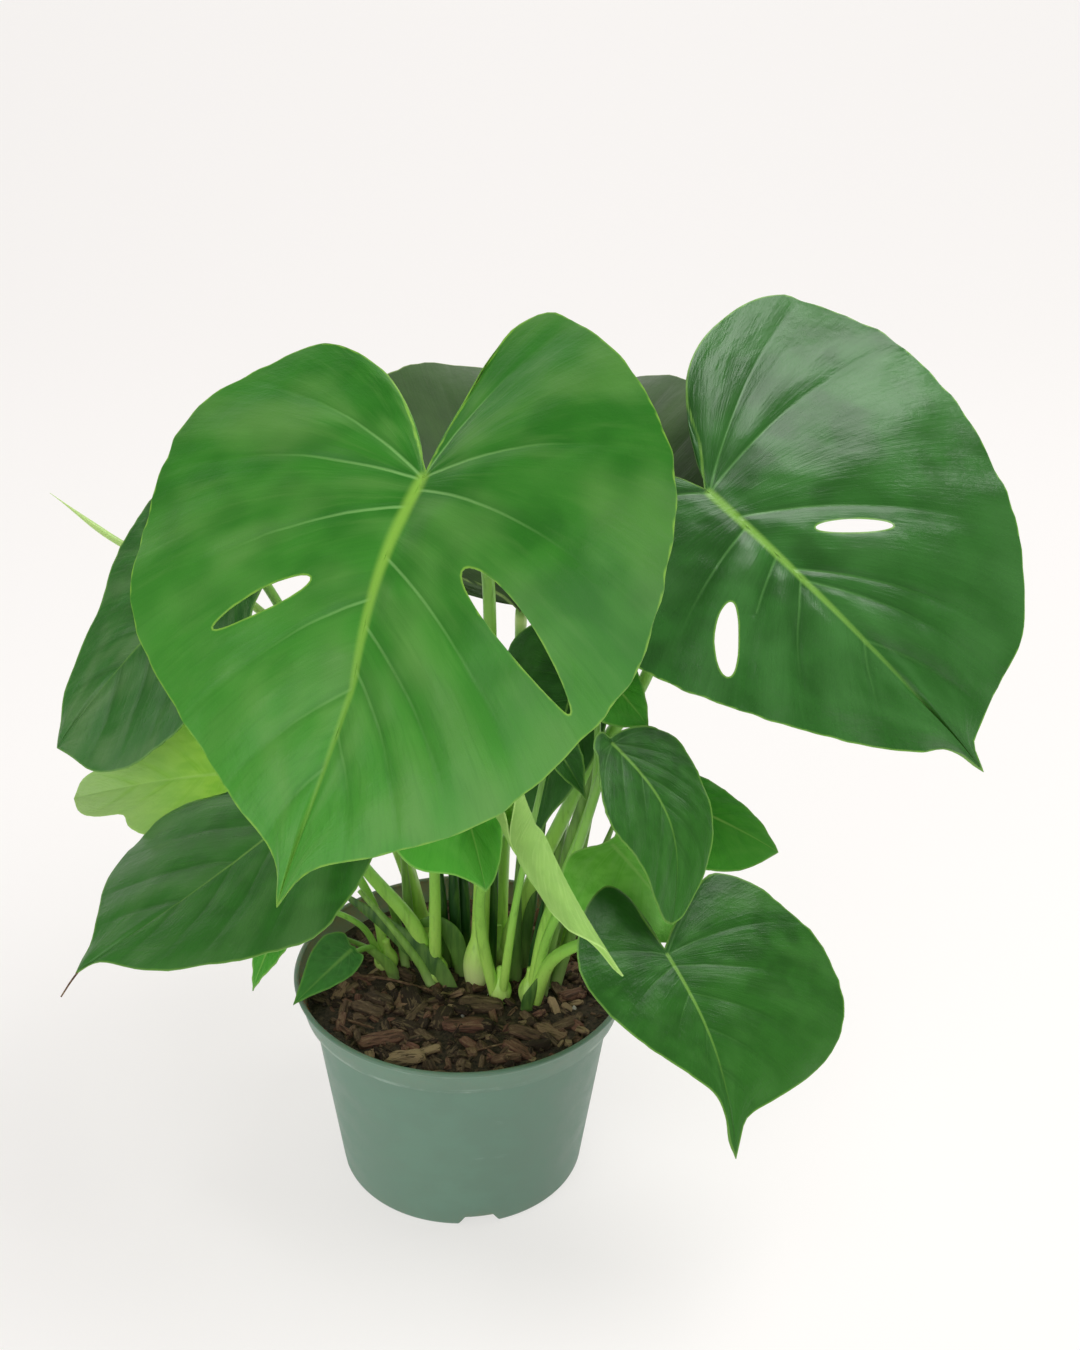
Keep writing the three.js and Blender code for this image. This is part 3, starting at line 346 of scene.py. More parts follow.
# Litter on the mix: bark slabs as place, turn and tilt in degrees, size and tone, and sticks as ends and
# radius
SLAB_LITTER = [
    ((9, -19, 98.5), -3, 24, (24, 9, 4.2), 0.56),
    ((3, -33, 97.5), 4, 14, (23, 8, 4), 0.8),
    ((-34, -43, 96.2), 14, 12, (26, 9, 3.6), 0.74),
    ((-42, -22, 96.6), -24, 10, (20, 8, 3.6), 0.5),
    ((-13, -51, 96.4), 24, 10, (14, 5, 2.2), 0.97),
    ((30, -38, 97), -18, 16, (18, 7, 3.4), 0.66),
    ((48, -30, 96.4), 30, 12, (17, 6, 3.2), 0.55),
    ((-20, -25, 97), 62, 8, (19, 6, 3.4), 0.58),
    ((-56, -8, 95.8), 70, 12, (15, 6, 2.6), 0.92),
    ((22, -55, 96.2), 8, 12, (16, 5.5, 3), 0.7),
]
STICKS = [
    ([(-60, 3, 97.2), (-36, -2, 99.4), (-13, -9, 98)], 0.8),
    ([(37, -14, 94), (36.6, -14, 105.5)], 1.5),
    ([(-50, -30, 96.4), (-38, -36, 97)], 0.7),
    ([(8, -50, 96.4), (20, -46, 97.2)], 0.6),
    ([(-154, -87.6, 163.6), (-157, -90, 160), (-161, -92, 154)], 0.45),
]

# Side veins, left of the midrib and right: the share of the midrib where each starts and the share of the
# margin where it ends
VEINS = {
    "large": (((0, 0.2), (0, 0.4), (0.04, 0.56), (0.18, 0.7), (0.32, 0.8), (0.46, 0.87), (0.62, 0.93)),) * 2,
    "middle": (((0, 0.2), (0, 0.4), (0.06, 0.58), (0.2, 0.72), (0.38, 0.82), (0.58, 0.9)),) * 2,
    "small": (((0, 0.25), (0.03, 0.45), (0.15, 0.62), (0.35, 0.77), (0.58, 0.88)),) * 2,
    "front_leaf": (
        ((0, 0.23), (0, 0.43), (0.03, 0.57), (0.2, 0.75), (0.36, 0.82), (0.46, 0.87), (0.6, 0.92)),
        ((0, 0.33), (0.005, 0.47), (0.075, 0.62), (0.3, 0.77), (0.5, 0.86), (0.68, 0.93)),
    ),
    "right_leaf": (
        ((0, 0.12), (0, 0.33), (0, 0.45), (0.087, 0.71), (0.268, 0.84), (0.31, 0.885), (0.52, 0.93)),
        ((0, 0.25), (0.12, 0.51), (0.22, 0.62), (0.3, 0.72), (0.52, 0.85)),
    ),
}

# The look of a blade without anything of its own: how rough and glossy it is, how far veins reach across, how
# clearly veins, midrib, border, the painted highlight on crests between veins, the painted sheen patches and
# the painted shade in furrows along veins show, how the midrib fades, and its underside
PLAIN_LOOK = {
    "rough": 0.3, "gloss": 0.2, "reach": 0.8, "vein_show": 0.8, "rib_show": 0.95, "rib_end": 1.5,
    "rib_fade": 0.5, "rim_show": 0.7, "crest_highlight": 0.35, "sheen_patch": 0.2, "furrow_shade": 0.35, "under": (112, 156, 84),
}
# Leaf colours, as shown on a screen: main and shade of the blade, where the shade colour also paints shade on
# the lobes and in the furrows, its tip, partly the leaf's own colour and partly painted light, the light
# colour of fine streaks, painted highlights on crests and painted sheen patches, veins and midrib, then what
# differs from the plain look or, where a look is like another one, from that one
LEAF_LOOKS = {
    "front": {"main": (55, 125, 37), "shade": (42, 109, 28), "tip": (75, 148, 52), "light": (112, 158, 82),
              "vein": (124, 176, 98), "rib": (130, 178, 66), "rough": 0.34, "reach": 0.75, "rim_show": 0.85,
              "rib_end": 2.1, "rib_fade": 0.4, "sheen_patch": 0.32, "furrow_shade": 0.26},
    "dark": {"main": (42, 96, 29), "shade": (33, 80, 22), "tip": (48, 104, 33), "light": (72, 126, 56),
             "vein": (100, 152, 80), "rib": (128, 176, 76), "gloss": 0.22, "vein_show": 0.22, "rim_show": 0.5,
             "rib_show": 0.65, "rib_end": 1.0, "rib_fade": 0.1, "sheen_patch": 0.3},
    # painted sheen: like dark, with a paler light colour for the painted highlights on crests and the sheen
    # patches
    "waxy": {"like": "dark", "main": (44, 101, 34), "shade": (35, 84, 27), "tip": (52, 112, 40),
             "light": (118, 148, 100), "vein": (104, 150, 84), "rib": (122, 170, 76), "rough": 0.32,
             "gloss": 0.26, "vein_show": 0.25},
    "lower_left_leaf": {"like": "dark", "main": (50, 110, 36), "shade": (40, 92, 28), "tip": (54, 116, 40),
                        "light": (92, 140, 74)},
    "rim_leaf": {"main": (54, 116, 42), "shade": (44, 100, 33), "tip": (60, 124, 46), "light": (84, 140, 66),
                 "vein": (110, 160, 84), "rib": (124, 172, 78), "rough": 0.34, "gloss": 0.22,
                 "vein_show": 0.2, "rib_show": 0.5, "rim_show": 0.4},
    "middle": {"main": (70, 161, 42), "shade": (57, 145, 34), "tip": (80, 164, 50), "light": (112, 184, 76),
               "vein": (128, 188, 90), "rib": (156, 206, 100), "rough": 0.36, "vein_show": 0.3,
               "rim_show": 0.5, "rib_fade": 0.3},
    "young": {"main": (142, 194, 62), "shade": (126, 184, 52), "tip": (160, 204, 92),
              "light": (166, 206, 104), "vein": (172, 212, 112), "rib": (184, 220, 128), "rough": 0.45,
              "gloss": 0.12, "vein_show": 0.3, "rim_show": 0.4},
    "bright_leaf": {"like": "young", "main": (146, 196, 66), "shade": (128, 184, 54), "tip": (170, 206, 130),
                    "vein_show": 0.1, "rib_show": 0.3},
    "right_leaf": {"main": (47, 105, 37), "shade": (36, 85, 27), "tip": (42, 96, 32), "light": (78, 134, 68),
                   "vein": (104, 160, 84), "rib": (132, 182, 76), "rough": 0.27, "gloss": 0.32,
                   "vein_show": 0.5, "rib_fade": 0.12, "sheen_patch": 0.3},
    "back_leaf": {"main": (52, 76, 35), "shade": (40, 58, 27), "tip": (49, 84, 33), "light": (66, 98, 43),
                  "vein": (84, 100, 60), "rib": (130, 156, 84), "rough": 0.4, "vein_show": 0.6},
    # partly its own fresh green, partly painted light: brighter than the middle look, making up for the shade
    # of the leaves above
    "low_leaf": {"main": (130, 206, 80), "shade": (112, 192, 64), "tip": (140, 210, 96),
                 "light": (160, 216, 120), "vein": (158, 214, 108), "rib": (168, 218, 116), "rough": 0.4,
                 "gloss": 0.28, "vein_show": 0.25, "rib_show": 0.5},
    # partly its own young colour, partly painted light: paler, making up for the shade of the front leaf
    "furled_leaf": {"main": (168, 212, 108), "shade": (152, 204, 92), "tip": (156, 204, 96),
                    "light": (182, 220, 130), "vein": (184, 222, 130), "rib": (190, 226, 134), "rough": 0.45,
                    "vein_show": 0.2, "under": (134, 176, 88)},
}
LOOK_OF = {"curled_leaf": "dark", "left_leaf": "waxy"}
LEAF_SLOTS = {
    "front": "front_leaf_green", "dark": "dark_leaf_green", "middle": "mid_leaf_green",
    "young": "young_leaf_green",
}
STALK_COLOURS = {
    "low": (190, 234, 108), "middle": (138, 196, 80), "top": (126, 176, 84), "dark": (84, 132, 48),
    "pale": (220, 236, 158),
}
# Shoot colours: the dark green is partly old sheaths' own colour, partly painted shade between the stems
SHOOT_COLOURS = {"pale": (150, 196, 90), "dark": (40, 80, 36), "foot": (196, 214, 150)}
# Pot colours: collar_highlight is a painted highlight along the collar's foot
PLASTIC = {
    "main": (97, 131, 111), "shade": (92, 125, 105), "lip": (84, 116, 94), "scuff": (150, 172, 158),
    "collar_highlight": (168, 188, 174),
}
SOIL = {"main": (90, 76, 58), "dark": (46, 38, 29), "light": (134, 112, 84)}
BARK = {"dark": (56, 43, 34), "main": (104, 84, 64), "red": (122, 86, 70), "light": (168, 142, 108)}
DRY_STICK = {"main": (128, 98, 72), "dark": (84, 60, 44), "light": (176, 148, 112)}
PERLITE = {"main": (226, 222, 210), "dark": (188, 182, 168), "light": (240, 238, 230)}
STUDIO = (255, 252, 250)
CARD = (158, 156, 154)
# Heights on the pot in metres: where the lip's colour starts and is full, and the painted highlight along the
# collar's foot
LIP_HEIGHTS = (0.1025, 0.104)
COLLAR_HIGHLIGHT_HEIGHTS = (0.0905, 0.0925, 0.0945)


def smoothstep(x):
    """An S-shaped ramp from 0 to 1."""
    x = np.clip(x, 0, 1)
    return x * x * (3 - 2 * x)


def mix(a, b, share):
    """The value at a share of the way from a to b."""
    return a + (b - a) * share


def unit(vector):
    """A vector of length 1."""
    return vector / np.linalg.norm(vector)


def smooth_line(points, divisions=200):
    """A centripetal Catmull-Rom line through points, by its share of length."""
    points = np.array(points, dtype=float)
    last = len(points) - 1
    padded = np.vstack([2 * points[0] - points[1], points, 2 * points[-1] - points[-2]])

    def at(parameter):
        scaled = parameter * last
        index = np.minimum(np.floor(scaled).astype(int), last - 1)
        weight = (scaled - index)[:, None]
        before, start, end, after = (padded[index + k] for k in range(4))
        pairs = ((before, start), (start, end), (end, after))
        gaps = [np.linalg.norm(b - a, axis=1)[:, None] ** 0.5 for a, b in pairs]
        leave = (start - before) / gaps[0] - (end - before) / (gaps[0] + gaps[1]) + (end - start) / gaps[1]
        arrive = (end - start) / gaps[1] - (after - start) / (gaps[1] + gaps[2]) + (after - end) / gaps[2]
        leave, arrive = leave * gaps[1], arrive * gaps[1]
        square = -3 * start + 3 * end - 2 * leave - arrive
        cube = 2 * start - 2 * end + leave + arrive
        return start + weight * (leave + weight * (square + weight * cube))

    parameters = np.linspace(0, 1, divisions + 1)
    steps = np.linalg.norm(np.diff(at(parameters), axis=0), axis=1)
    travelled = np.concatenate([[0], np.cumsum(steps)])

    def at_share(share):
        share = np.clip(np.atleast_1d(np.asarray(share, dtype=float)), 0, 1)
        return at(np.interp(share * travelled[-1], travelled, parameters))

    return at_share


class Blade:
    """Where a leaf lies: its midrib from the junction with the stalk to the tip, its bend and its halves."""

    def __init__(self, name):
        self.name = name
        self.leaf = leaf = {**PLAIN_LEAF, **LEAVES[name]}
        self.junction = np.array(leaf["junction"], dtype=float)
        chord = np.array(leaf["tip"], dtype=float) - self.junction
        direction = unit(chord)
        face = unit(np.array([0, 0, 1]) - direction[2] * direction)
        roll = math.radians(leaf["roll"])
        face = math.cos(roll) * face + math.sin(roll) * np.cross(face, direction)
        self.aside = np.cross(face, direction)
        self.droop = math.radians(leaf["droop"])
        middle = self.droop / 2
        self.length = np.linalg.norm(chord) * middle / math.sin(middle)
        self.forward = math.cos(middle) * direction + math.sin(middle) * face
        self.normal = math.cos(middle) * face - math.sin(middle) * direction
        halves = {1: leaf["left"], -1: leaf.get("right", leaf["left"])}
        self.widest = max(width for half in halves.values() for _, width in half)
        self.margins = {side: self.margin(side, outline) for side, outline in halves.items()}
        veins = VEINS.get(name, VEINS[leaf["grid"]])
        self.veins = {1: np.array(veins[0]), -1: np.array(veins[1])}

    def margin(self, side, outline):
        """The outline of one half, from the sinus to the tip."""
        points = [(along, side * width) for along, width in outline]
        return smooth_line([(-SINUS, 0), *points, (self.length, 0)])

    def rib_shift(self, along):
        """How far the midrib lies aside of the blade's middle line."""
        return RIB_SHIFT.get(self.name, 0) * np.sin(math.pi * np.clip(along / (0.5 * self.length), 0, 1))

    def place(self, side, row, across):
        """Length along the midrib and distance aside of a spot on one half. Rows follow the side veins."""
        edge = self.margins[side](row)
        starts, ends = self.veins[side].T
        foot = self.length * np.interp(row, [0, *ends, 1], [0, *starts, 1])
        aside = self.rib_shift(foot)
        arch = 2 * VEIN_ARCH * across * (1 - across) * np.clip(np.abs(edge[:, 1]) / VEIN_SPREAD, 0, 1)
        run, reach = edge[:, 0] - foot, edge[:, 1] - aside
        reach = reach * (1 + SCALLOP * across ** 6 * (np.sin(107 * row) + np.sin(163 * row + 1)))
        along = foot + run * across - arch * np.abs(reach)
        return np.stack([along, aside + reach * across + arch * side * run], 1)

    def point(self, along, sideways, lift):
        """The place in space of a spot on the blade, lifted off its middle surface."""
        leaf = self.leaf
        share = along / self.length
        bend = (self.droop / self.length) * np.where(along > 0, 1, LOBE_DROOP)
        turn = bend * along
        shift = leaf["bow"] * np.sin(math.pi * np.clip(share, 0, 1))
        if "curl" in leaf:
            radius = mix(leaf["curl"][0], leaf["curl"][1], share)
            twist = math.radians(TWIST) * smoothstep(share / 0.3)
            angle = sideways / radius + twist * (1 - 0.35 * smoothstep((share - 0.6) / 0.4))
            rise = radius - (radius - lift) * np.cos(angle)
            sidestep = (radius - lift) * np.sin(angle) + shift
        else:
            side = np.where(sideways > 0, 0, 1)
            lobe, tip, cup = (np.array(leaf[key])[side] for key in ("lobe_fold", "tip_fold", "cup"))
            fold = np.radians(mix(lobe, tip, smoothstep((share + 0.25) / 0.85)))
            wave = leaf["ripple"] * np.sin(2 * math.pi * (WAVES * share + 0.37 * side))
            rise = np.abs(sideways) * np.tan(fold) + (wave - cup) * (sideways / self.widest) ** 2 + lift
            sidestep = sideways + shift
        ahead = np.sin(turn) * (1 / bend + rise)
        up = np.cos(turn) * (1 / bend + rise) - 1 / bend
        return (self.junction + ahead[:, None] * self.forward + up[:, None] * self.normal
                + sidestep[:, None] * self.aside)


def slot_outline(slot, angle):
    """Outline of a slot between two side veins, as rows and shares across, for angles round its middle."""
    end = np.cos(angle)
    row = slot["row"] + slot["skew"] * end + slot["half_width"] * np.sin(angle) * (1 - slot["taper"] * end)
    return row, slot["across"] + slot["reach"] * end


class Sheet:
    """The middle surface of a blade as places and faces, with what its finish needs at each place."""

    def __init__(self, blade, settings):
        self.blade = blade
        self.settings = settings
        grid = GRIDS[blade.leaf["grid"]]
        self.scale = grid["scale"]
        self.veins = {side: blade.veins[side][:, 1] for side in (1, -1)}
        marks = np.concatenate([v + near for v in self.veins.values() for near in (-VEIN_NEAR, 0, VEIN_NEAR)])
        even = np.linspace(0, 1, grid["rows"] + 1)
        even = [row for row in even if row in (0, 1) or np.min(np.abs(marks - row)) > VEIN_NEAR]
        self.rows = np.unique(np.round(np.concatenate([even, marks]), 5))
        shares = np.linspace(0, 1, grid["columns"] + 1)
        self.columns = np.concatenate([shares[:-1] ** 1.7, [0.985, 1]])
        self.index = {}
        self.spots = []
        self.faces = []
        for side in (1, -1):
            self.add_half(side)
        self.measure()

    def add(self, side, rows, shares):
        """Adds places of one half and gives their numbers. Places of both halves on the midrib are shared."""
        numbers = []
        for spot, row, share in zip(self.blade.place(side, rows, shares), rows, shares):
            key = (round(float(spot[0]), 3), round(float(spot[1]), 3) + 0.0)
            if key not in self.index:
                self.index[key] = len(self.spots)
                self.spots.append((spot[0], spot[1], row, share, side))
            numbers.append(self.index[key])
        return numbers

    def add_face(self, side, corners):
        """Adds a face with its upper side up, without corners that coincide."""
        loop = [c for i, c in enumerate(corners) if c != corners[i - 1]]
        if len(set(loop)) == len(loop) > 2:
            self.faces.append(tuple(loop if side > 0 else loop[::-1]))

    def add_half(self, side):
        """Adds the grid of one half, with rings of faces round its slots."""
        rows, columns = self.rows, self.columns
        row_grid, column_grid = np.meshgrid(rows, columns, indexing="ij")
        numbers = np.array(self.add(side, row_grid.ravel(), column_grid.ravel())).reshape(row_grid.shape)
        taken = np.zeros((len(rows) - 1, len(columns) - 1), dtype=bool)
        for slot in self.blade.leaf.get("slots", ()):
            if slot["side"] == side:
                self.add_slot(side, slot, numbers, taken)
        for i, j in zip(*np.nonzero(~taken)):
            corners = [numbers[i, j], numbers[i + 1, j], numbers[i + 1, j + 1], numbers[i, j + 1]]
            self.add_face(side, corners)

    def add_slot(self, side, slot, numbers, taken):
        """Replaces a block of the grid with rings that lead from its edge to the slot's outline."""
        rows, columns = self.rows, self.columns
        spread = slot["half_width"] * (1 + slot["taper"]) + abs(slot["skew"]) + 0.008
        low = np.searchsorted(rows, slot["row"] - spread) - 1
        high = np.searchsorted(rows, slot["row"] + spread)
        near = np.searchsorted(columns, slot["across"] - slot["reach"] - 0.02) - 1
        far = min(np.searchsorted(columns, slot["across"] + slot["reach"] + 0.02), len(columns) - 1)
        taken[low:high, near:far] = True
        ring = ([(i, near) for i in range(low, high)] + [(high, j) for j in range(near, far)]
                + [(i, far) for i in range(high, low, -1)] + [(low, j) for j in range(far, near, -1)])
        outer_row = np.array([rows[i] for i, _ in ring])
        outer_share = np.array([columns[j] for _, j in ring])
        row_middle, share_middle = (rows[low] + rows[high]) / 2, (columns[near] + columns[far]) / 2
        angle = np.arctan2((outer_row - row_middle) / (rows[high] - rows[low]),
                           (outer_share - share_middle) / (columns[far] - columns[near]))
        inner_row, inner_share = slot_outline(slot, angle)
        before = [numbers[i, j] for i, j in ring]
        for step in SLOT_RINGS:
            here = self.add(side, mix(outer_row, inner_row, step), mix(outer_share, inner_share, step))
            for n in range(len(ring)):
                m = (n + 1) % len(ring)
                self.add_face(side, [before[n], before[m], here[m], here[n]])
            before = here

    def measure(self):
        """Works out at each place the distances to the midrib, to a side vein and to the margin."""
        spots = np.array(self.spots)
        self.along, self.sideways, self.row, self.share, self.side = spots.T
        self.vein = np.full(len(spots), 99.0)
        self.between = np.zeros(len(spots))
        borders = []
        for side in (1, -1):
            mine = self.side == side
            row, share = self.row[mine], self.share[mine]
            step = 0.002
            place = self.blade.place
            low, high = np.maximum(share - step, 0), np.minimum(share + step, 1)
            across = place(side, row, high) - place(side, row, low)
            low, high = np.maximum(row - step, 0), np.minimum(row + step, 1)
            along = place(side, high, share) - place(side, low, share)
            area = np.abs(across[:, 0] * along[:, 1] - across[:, 1] * along[:, 0])
            spacing = area / np.maximum(np.linalg.norm(across, axis=1), 1e-6) / (2 * step)
            marks = np.concatenate([[0], self.veins[side], [1]])
            upper = np.clip(np.searchsorted(marks, row), 1, len(marks) - 1)
            low, high = marks[upper - 1], marks[upper]
            rng = np.random.default_rng(sum(map(ord, self.blade.name)) + int(side))
            swelling = rng.uniform(0.3, 1, len(marks))[upper]
            room = np.minimum(1, (high - low) * spacing / self.settings.pillow_width)
            self.between[mine] = swelling * np.sin(math.pi * (row - low) / (high - low)) * room
            nearest = np.min(np.abs(row[:, None] - self.veins[side][None]), axis=1)
            self.vein[mine] = nearest * spacing
            borders.append(place(side, np.linspace(0, 1, 260), np.ones(260)))
            for slot in self.blade.leaf.get("slots", ()):
                if slot["side"] == side:
                    borders.append(place(side, *slot_outline(slot, np.linspace(0, 2 * math.pi, 90))))
        border = np.vstack(borders)
        self.edge = np.min(np.linalg.norm(spots[:, None, :2] - border[None], axis=2), axis=1)
        self.rib = np.abs(self.sideways - self.blade.rib_shift(self.along))

    def surfaces(self):
        """Lifts of the upper and the lower surface: pillows between the veins, grooves above, ribs below."""
        settings, scale = self.settings, self.scale
        forward = 1 - 0.8 * np.clip(self.along / self.blade.length, 0, 1)
        inside = smoothstep(self.share / 0.16) * (1 - smoothstep((self.share - 0.7) / 0.3))
        pillow = settings.pillow * MM_PER_M * scale ** 1.6 * np.clip(self.between, 0, 1) * inside
        waves = np.sin(2 * math.pi * (7.3 * self.row + 0.21 * self.side))
        flutter = settings.flutter * MM_PER_M * scale * self.share ** 5 * waves * smoothstep(self.row / 0.1)
        near_vein = np.exp(-(self.vein / (1.3 * scale)) ** 2)
        groove = settings.groove * MM_PER_M * scale * near_vein * (1 - 0.7 * self.share)
        half = settings.thickness * MM_PER_M / 2 * (0.55 + 0.45 * smoothstep(self.edge / 2.5))
        rib_width = 2.1 * scale * forward + 0.3
        rib = RIB_DEPTH * forward * np.exp(-(self.rib / rib_width) ** 2) * (self.along > -1)
        ridge = settings.ridge * MM_PER_M * scale * np.exp(-(self.vein / (1.1 * scale)) ** 2)
        ridge = ridge * (1 - self.share)
        plan = np.stack([self.along, self.sideways], 1)
        swell = settings.swell * MM_PER_M * scale * ripples(plan, 13 * scale, len(self.spots))
        swell = swell * smoothstep(self.rib / 6)
        middle = pillow + flutter + swell + self.edge_curl()
        upper = middle + half - groove * smoothstep(self.edge / 3)
        lower = middle - half - np.maximum(rib, ridge * smoothstep(self.edge / 3))
        return upper, lower

    def edge_curl(self):
        """Rise of a stretch of the margin that curls up."""
        curl = EDGE_CURL.get(self.blade.name)
        if not curl:
            return 0
        low, high = curl["rows"]
        stretch = np.sin(math.pi * np.clip((self.row - low) / (high - low), 0, 1))
        outward = smoothstep((self.share - 0.45) / 0.55) ** 1.5
        return curl["rise"] * stretch * outward * (self.side == curl["side"])


def blade_mesh(name, settings):
    """A closed blade with an upper and a lower surface and walls along its margin and its slots."""
    blade = Blade(name)
    sheet = Sheet(blade, settings)
    count = len(sheet.spots)
    upper, lower = sheet.surfaces()
    points = np.vstack([blade.point(sheet.along, sheet.sideways, lift) for lift in (upper, lower)])
    faces = list(sheet.faces) + [tuple(i + count for i in reversed(face)) for face in sheet.faces]
    used = {(face[i - 1], face[i]) for face in sheet.faces for i in range(len(face))}
    for start, end in used:
        if (end, start) not in used:
            faces.append((end, start, start + count, end + count))
    mesh = make_mesh(f"{name}_blade", points, faces)
    width = 0.55 * sheet.scale * (1 - 0.65 * sheet.share) + 0.1
    down = sheet.along / blade.length
    rib_width = (0.3 + 1.8 * (1 - np.clip(down, 0, 1)) ** 1.2) * max(sheet.scale, 0.5)
    rib = np.where(sheet.along < 0, np.hypot(sheet.along, sheet.sideways), sheet.rib) / rib_width
    facts = {
        "vein": np.minimum(sheet.vein / width, 9), "rib": np.minimum(rib, 9),
        "edge": np.minimum(sheet.edge, 12), "across": sheet.share, "down": np.clip(down, -0.4, 1),
        "pillow": np.clip(sheet.between, 0, 1),
    }
    note(mesh, **{key: np.tile(values, 2) for key, values in facts.items()})
    grain = np.stack([sheet.row * sheet.side, sheet.share, sheet.side * 3], 1)
    note(mesh, upper=np.repeat([1.0, 0.0], count), grain=np.tile(grain, (2, 1)))
    return mesh


def make_mesh(name, points, faces, sharp=50):
    """A mesh in metres from points in millimetres, shaded smooth but for its sharp edges."""
    mesh = bpy.data.meshes.new(name)
    mesh.from_pydata((np.asarray(points) * MM).tolist(), [], [tuple(int(i) for i in face) for face in faces])
    mesh.validate()
    mesh.polygons.foreach_set("use_smooth", [True] * len(mesh.polygons))
    mesh.set_sharp_from_angle(angle=math.radians(sharp))
    return mesh


def note(mesh, **facts):
    """Stores a number or a vector for each point of a mesh, which its finish reads."""
    for key, values in facts.items():
        values = np.asarray(values, dtype=np.float32)
        kind, field = ("FLOAT", "value") if values.ndim == 1 else ("FLOAT_VECTOR", "vector")
        mesh.attributes.new(key, kind, "POINT").data.foreach_set(field, values.ravel())


def linked(name, data):
    """A new object of the scene."""
    item = bpy.data.objects.new(name, data)
    bpy.context.scene.collection.objects.link(item)
    return item


def ring_faces(levels, count):
    """Faces between rings of points that follow each other, each with so many points."""
    corners = [(i * count + k, i * count + (k + 1) % count) for i in range(levels - 1) for k in range(count)]
    return [(a, b, b + count, a + count) for a, b in corners]


def turned(profile, sides):
    """Points and faces of a closed profile of (radius, height) turned about Z. Its ends lie on the axis."""
    points, faces = [], []
    rings = []
    for radius, height in profile:
        if radius == 0:
            rings.append([len(points)] * sides)
            points.append((0, 0, height))
            continue
        rings.append(list(range(len(points), len(points) + sides)))
        for k in range(sides):
            angle = 2 * math.pi * k / sides
            points.append((radius * math.cos(angle), radius * math.sin(angle), height))
    for low, high in zip(rings[:-1], rings[1:]):
        for k in range(sides):
            m = (k + 1) % sides
            loop = [low[k], low[m], high[m], high[k]]
            loop = [c for i, c in enumerate(loop) if c != loop[i - 1]]
            if len(loop) > 2:
                faces.append(tuple(loop))
    return np.array(points, dtype=float), faces


def tube(line, radius_at, sides=20, sections=60, flatten=None, groove=0.0, flat=1.0):
    """Points and faces of a closed tube along a line, with the share of its length at each point."""
    shares = np.linspace(0, 1, sections + 1)
    centres = line(shares)
    tangents = line(np.minimum(shares + 0.01, 1)) - line(np.maximum(shares - 0.01, 0))
    across = np.array([0.0, 1.0, 0.0])
    points = []
    for share, centre, tangent in zip(shares, centres, tangents):
        tangent = unit(tangent)
        across = unit(across - across.dot(tangent) * tangent)
        over = np.cross(tangent, across)
        for k in range(sides):
            angle = 2 * math.pi * k / sides
            dent = groove * math.exp(-(((angle - 1.5 + math.pi) % (2 * math.pi) - math.pi) / 0.45) ** 2)
            radius = radius_at(share) * (1 - dent * (1 - share))
            points.append(centre + radius * (flat * math.cos(angle) * across + math.sin(angle) * over))
    points = np.array(points)
    if flatten is not None:
        middle, normal = flatten
        above = np.maximum((points - middle) @ normal, 0) * (np.repeat(shares, sides) > 0.8)
        points = points - above[:, None] * normal
    ends = [tuple(range(sides))[::-1], tuple(range(sections * sides, (sections + 1) * sides))]
    return points, ring_faces(sections + 1, sides) + ends, np.repeat(shares, sides)


def joined(parts):
    """Points and faces of several shells as one."""
    points, faces, start = [], [], 0
    for part_points, part_faces in parts:
        points.append(np.asarray(part_points, dtype=float))
        faces += [tuple(i + start for i in face) for face in part_faces]
        start += len(part_points)
    return np.vstack(points), faces


def linear(colour):
    """A screen colour from 0 to 255 as linear light, with alpha."""
    shares = [part / 255 for part in colour]
    return (*[s / 12.92 if s <= 0.04045 else ((s + 0.055) / 1.055) ** 2.4 for s in shares], 1.0)


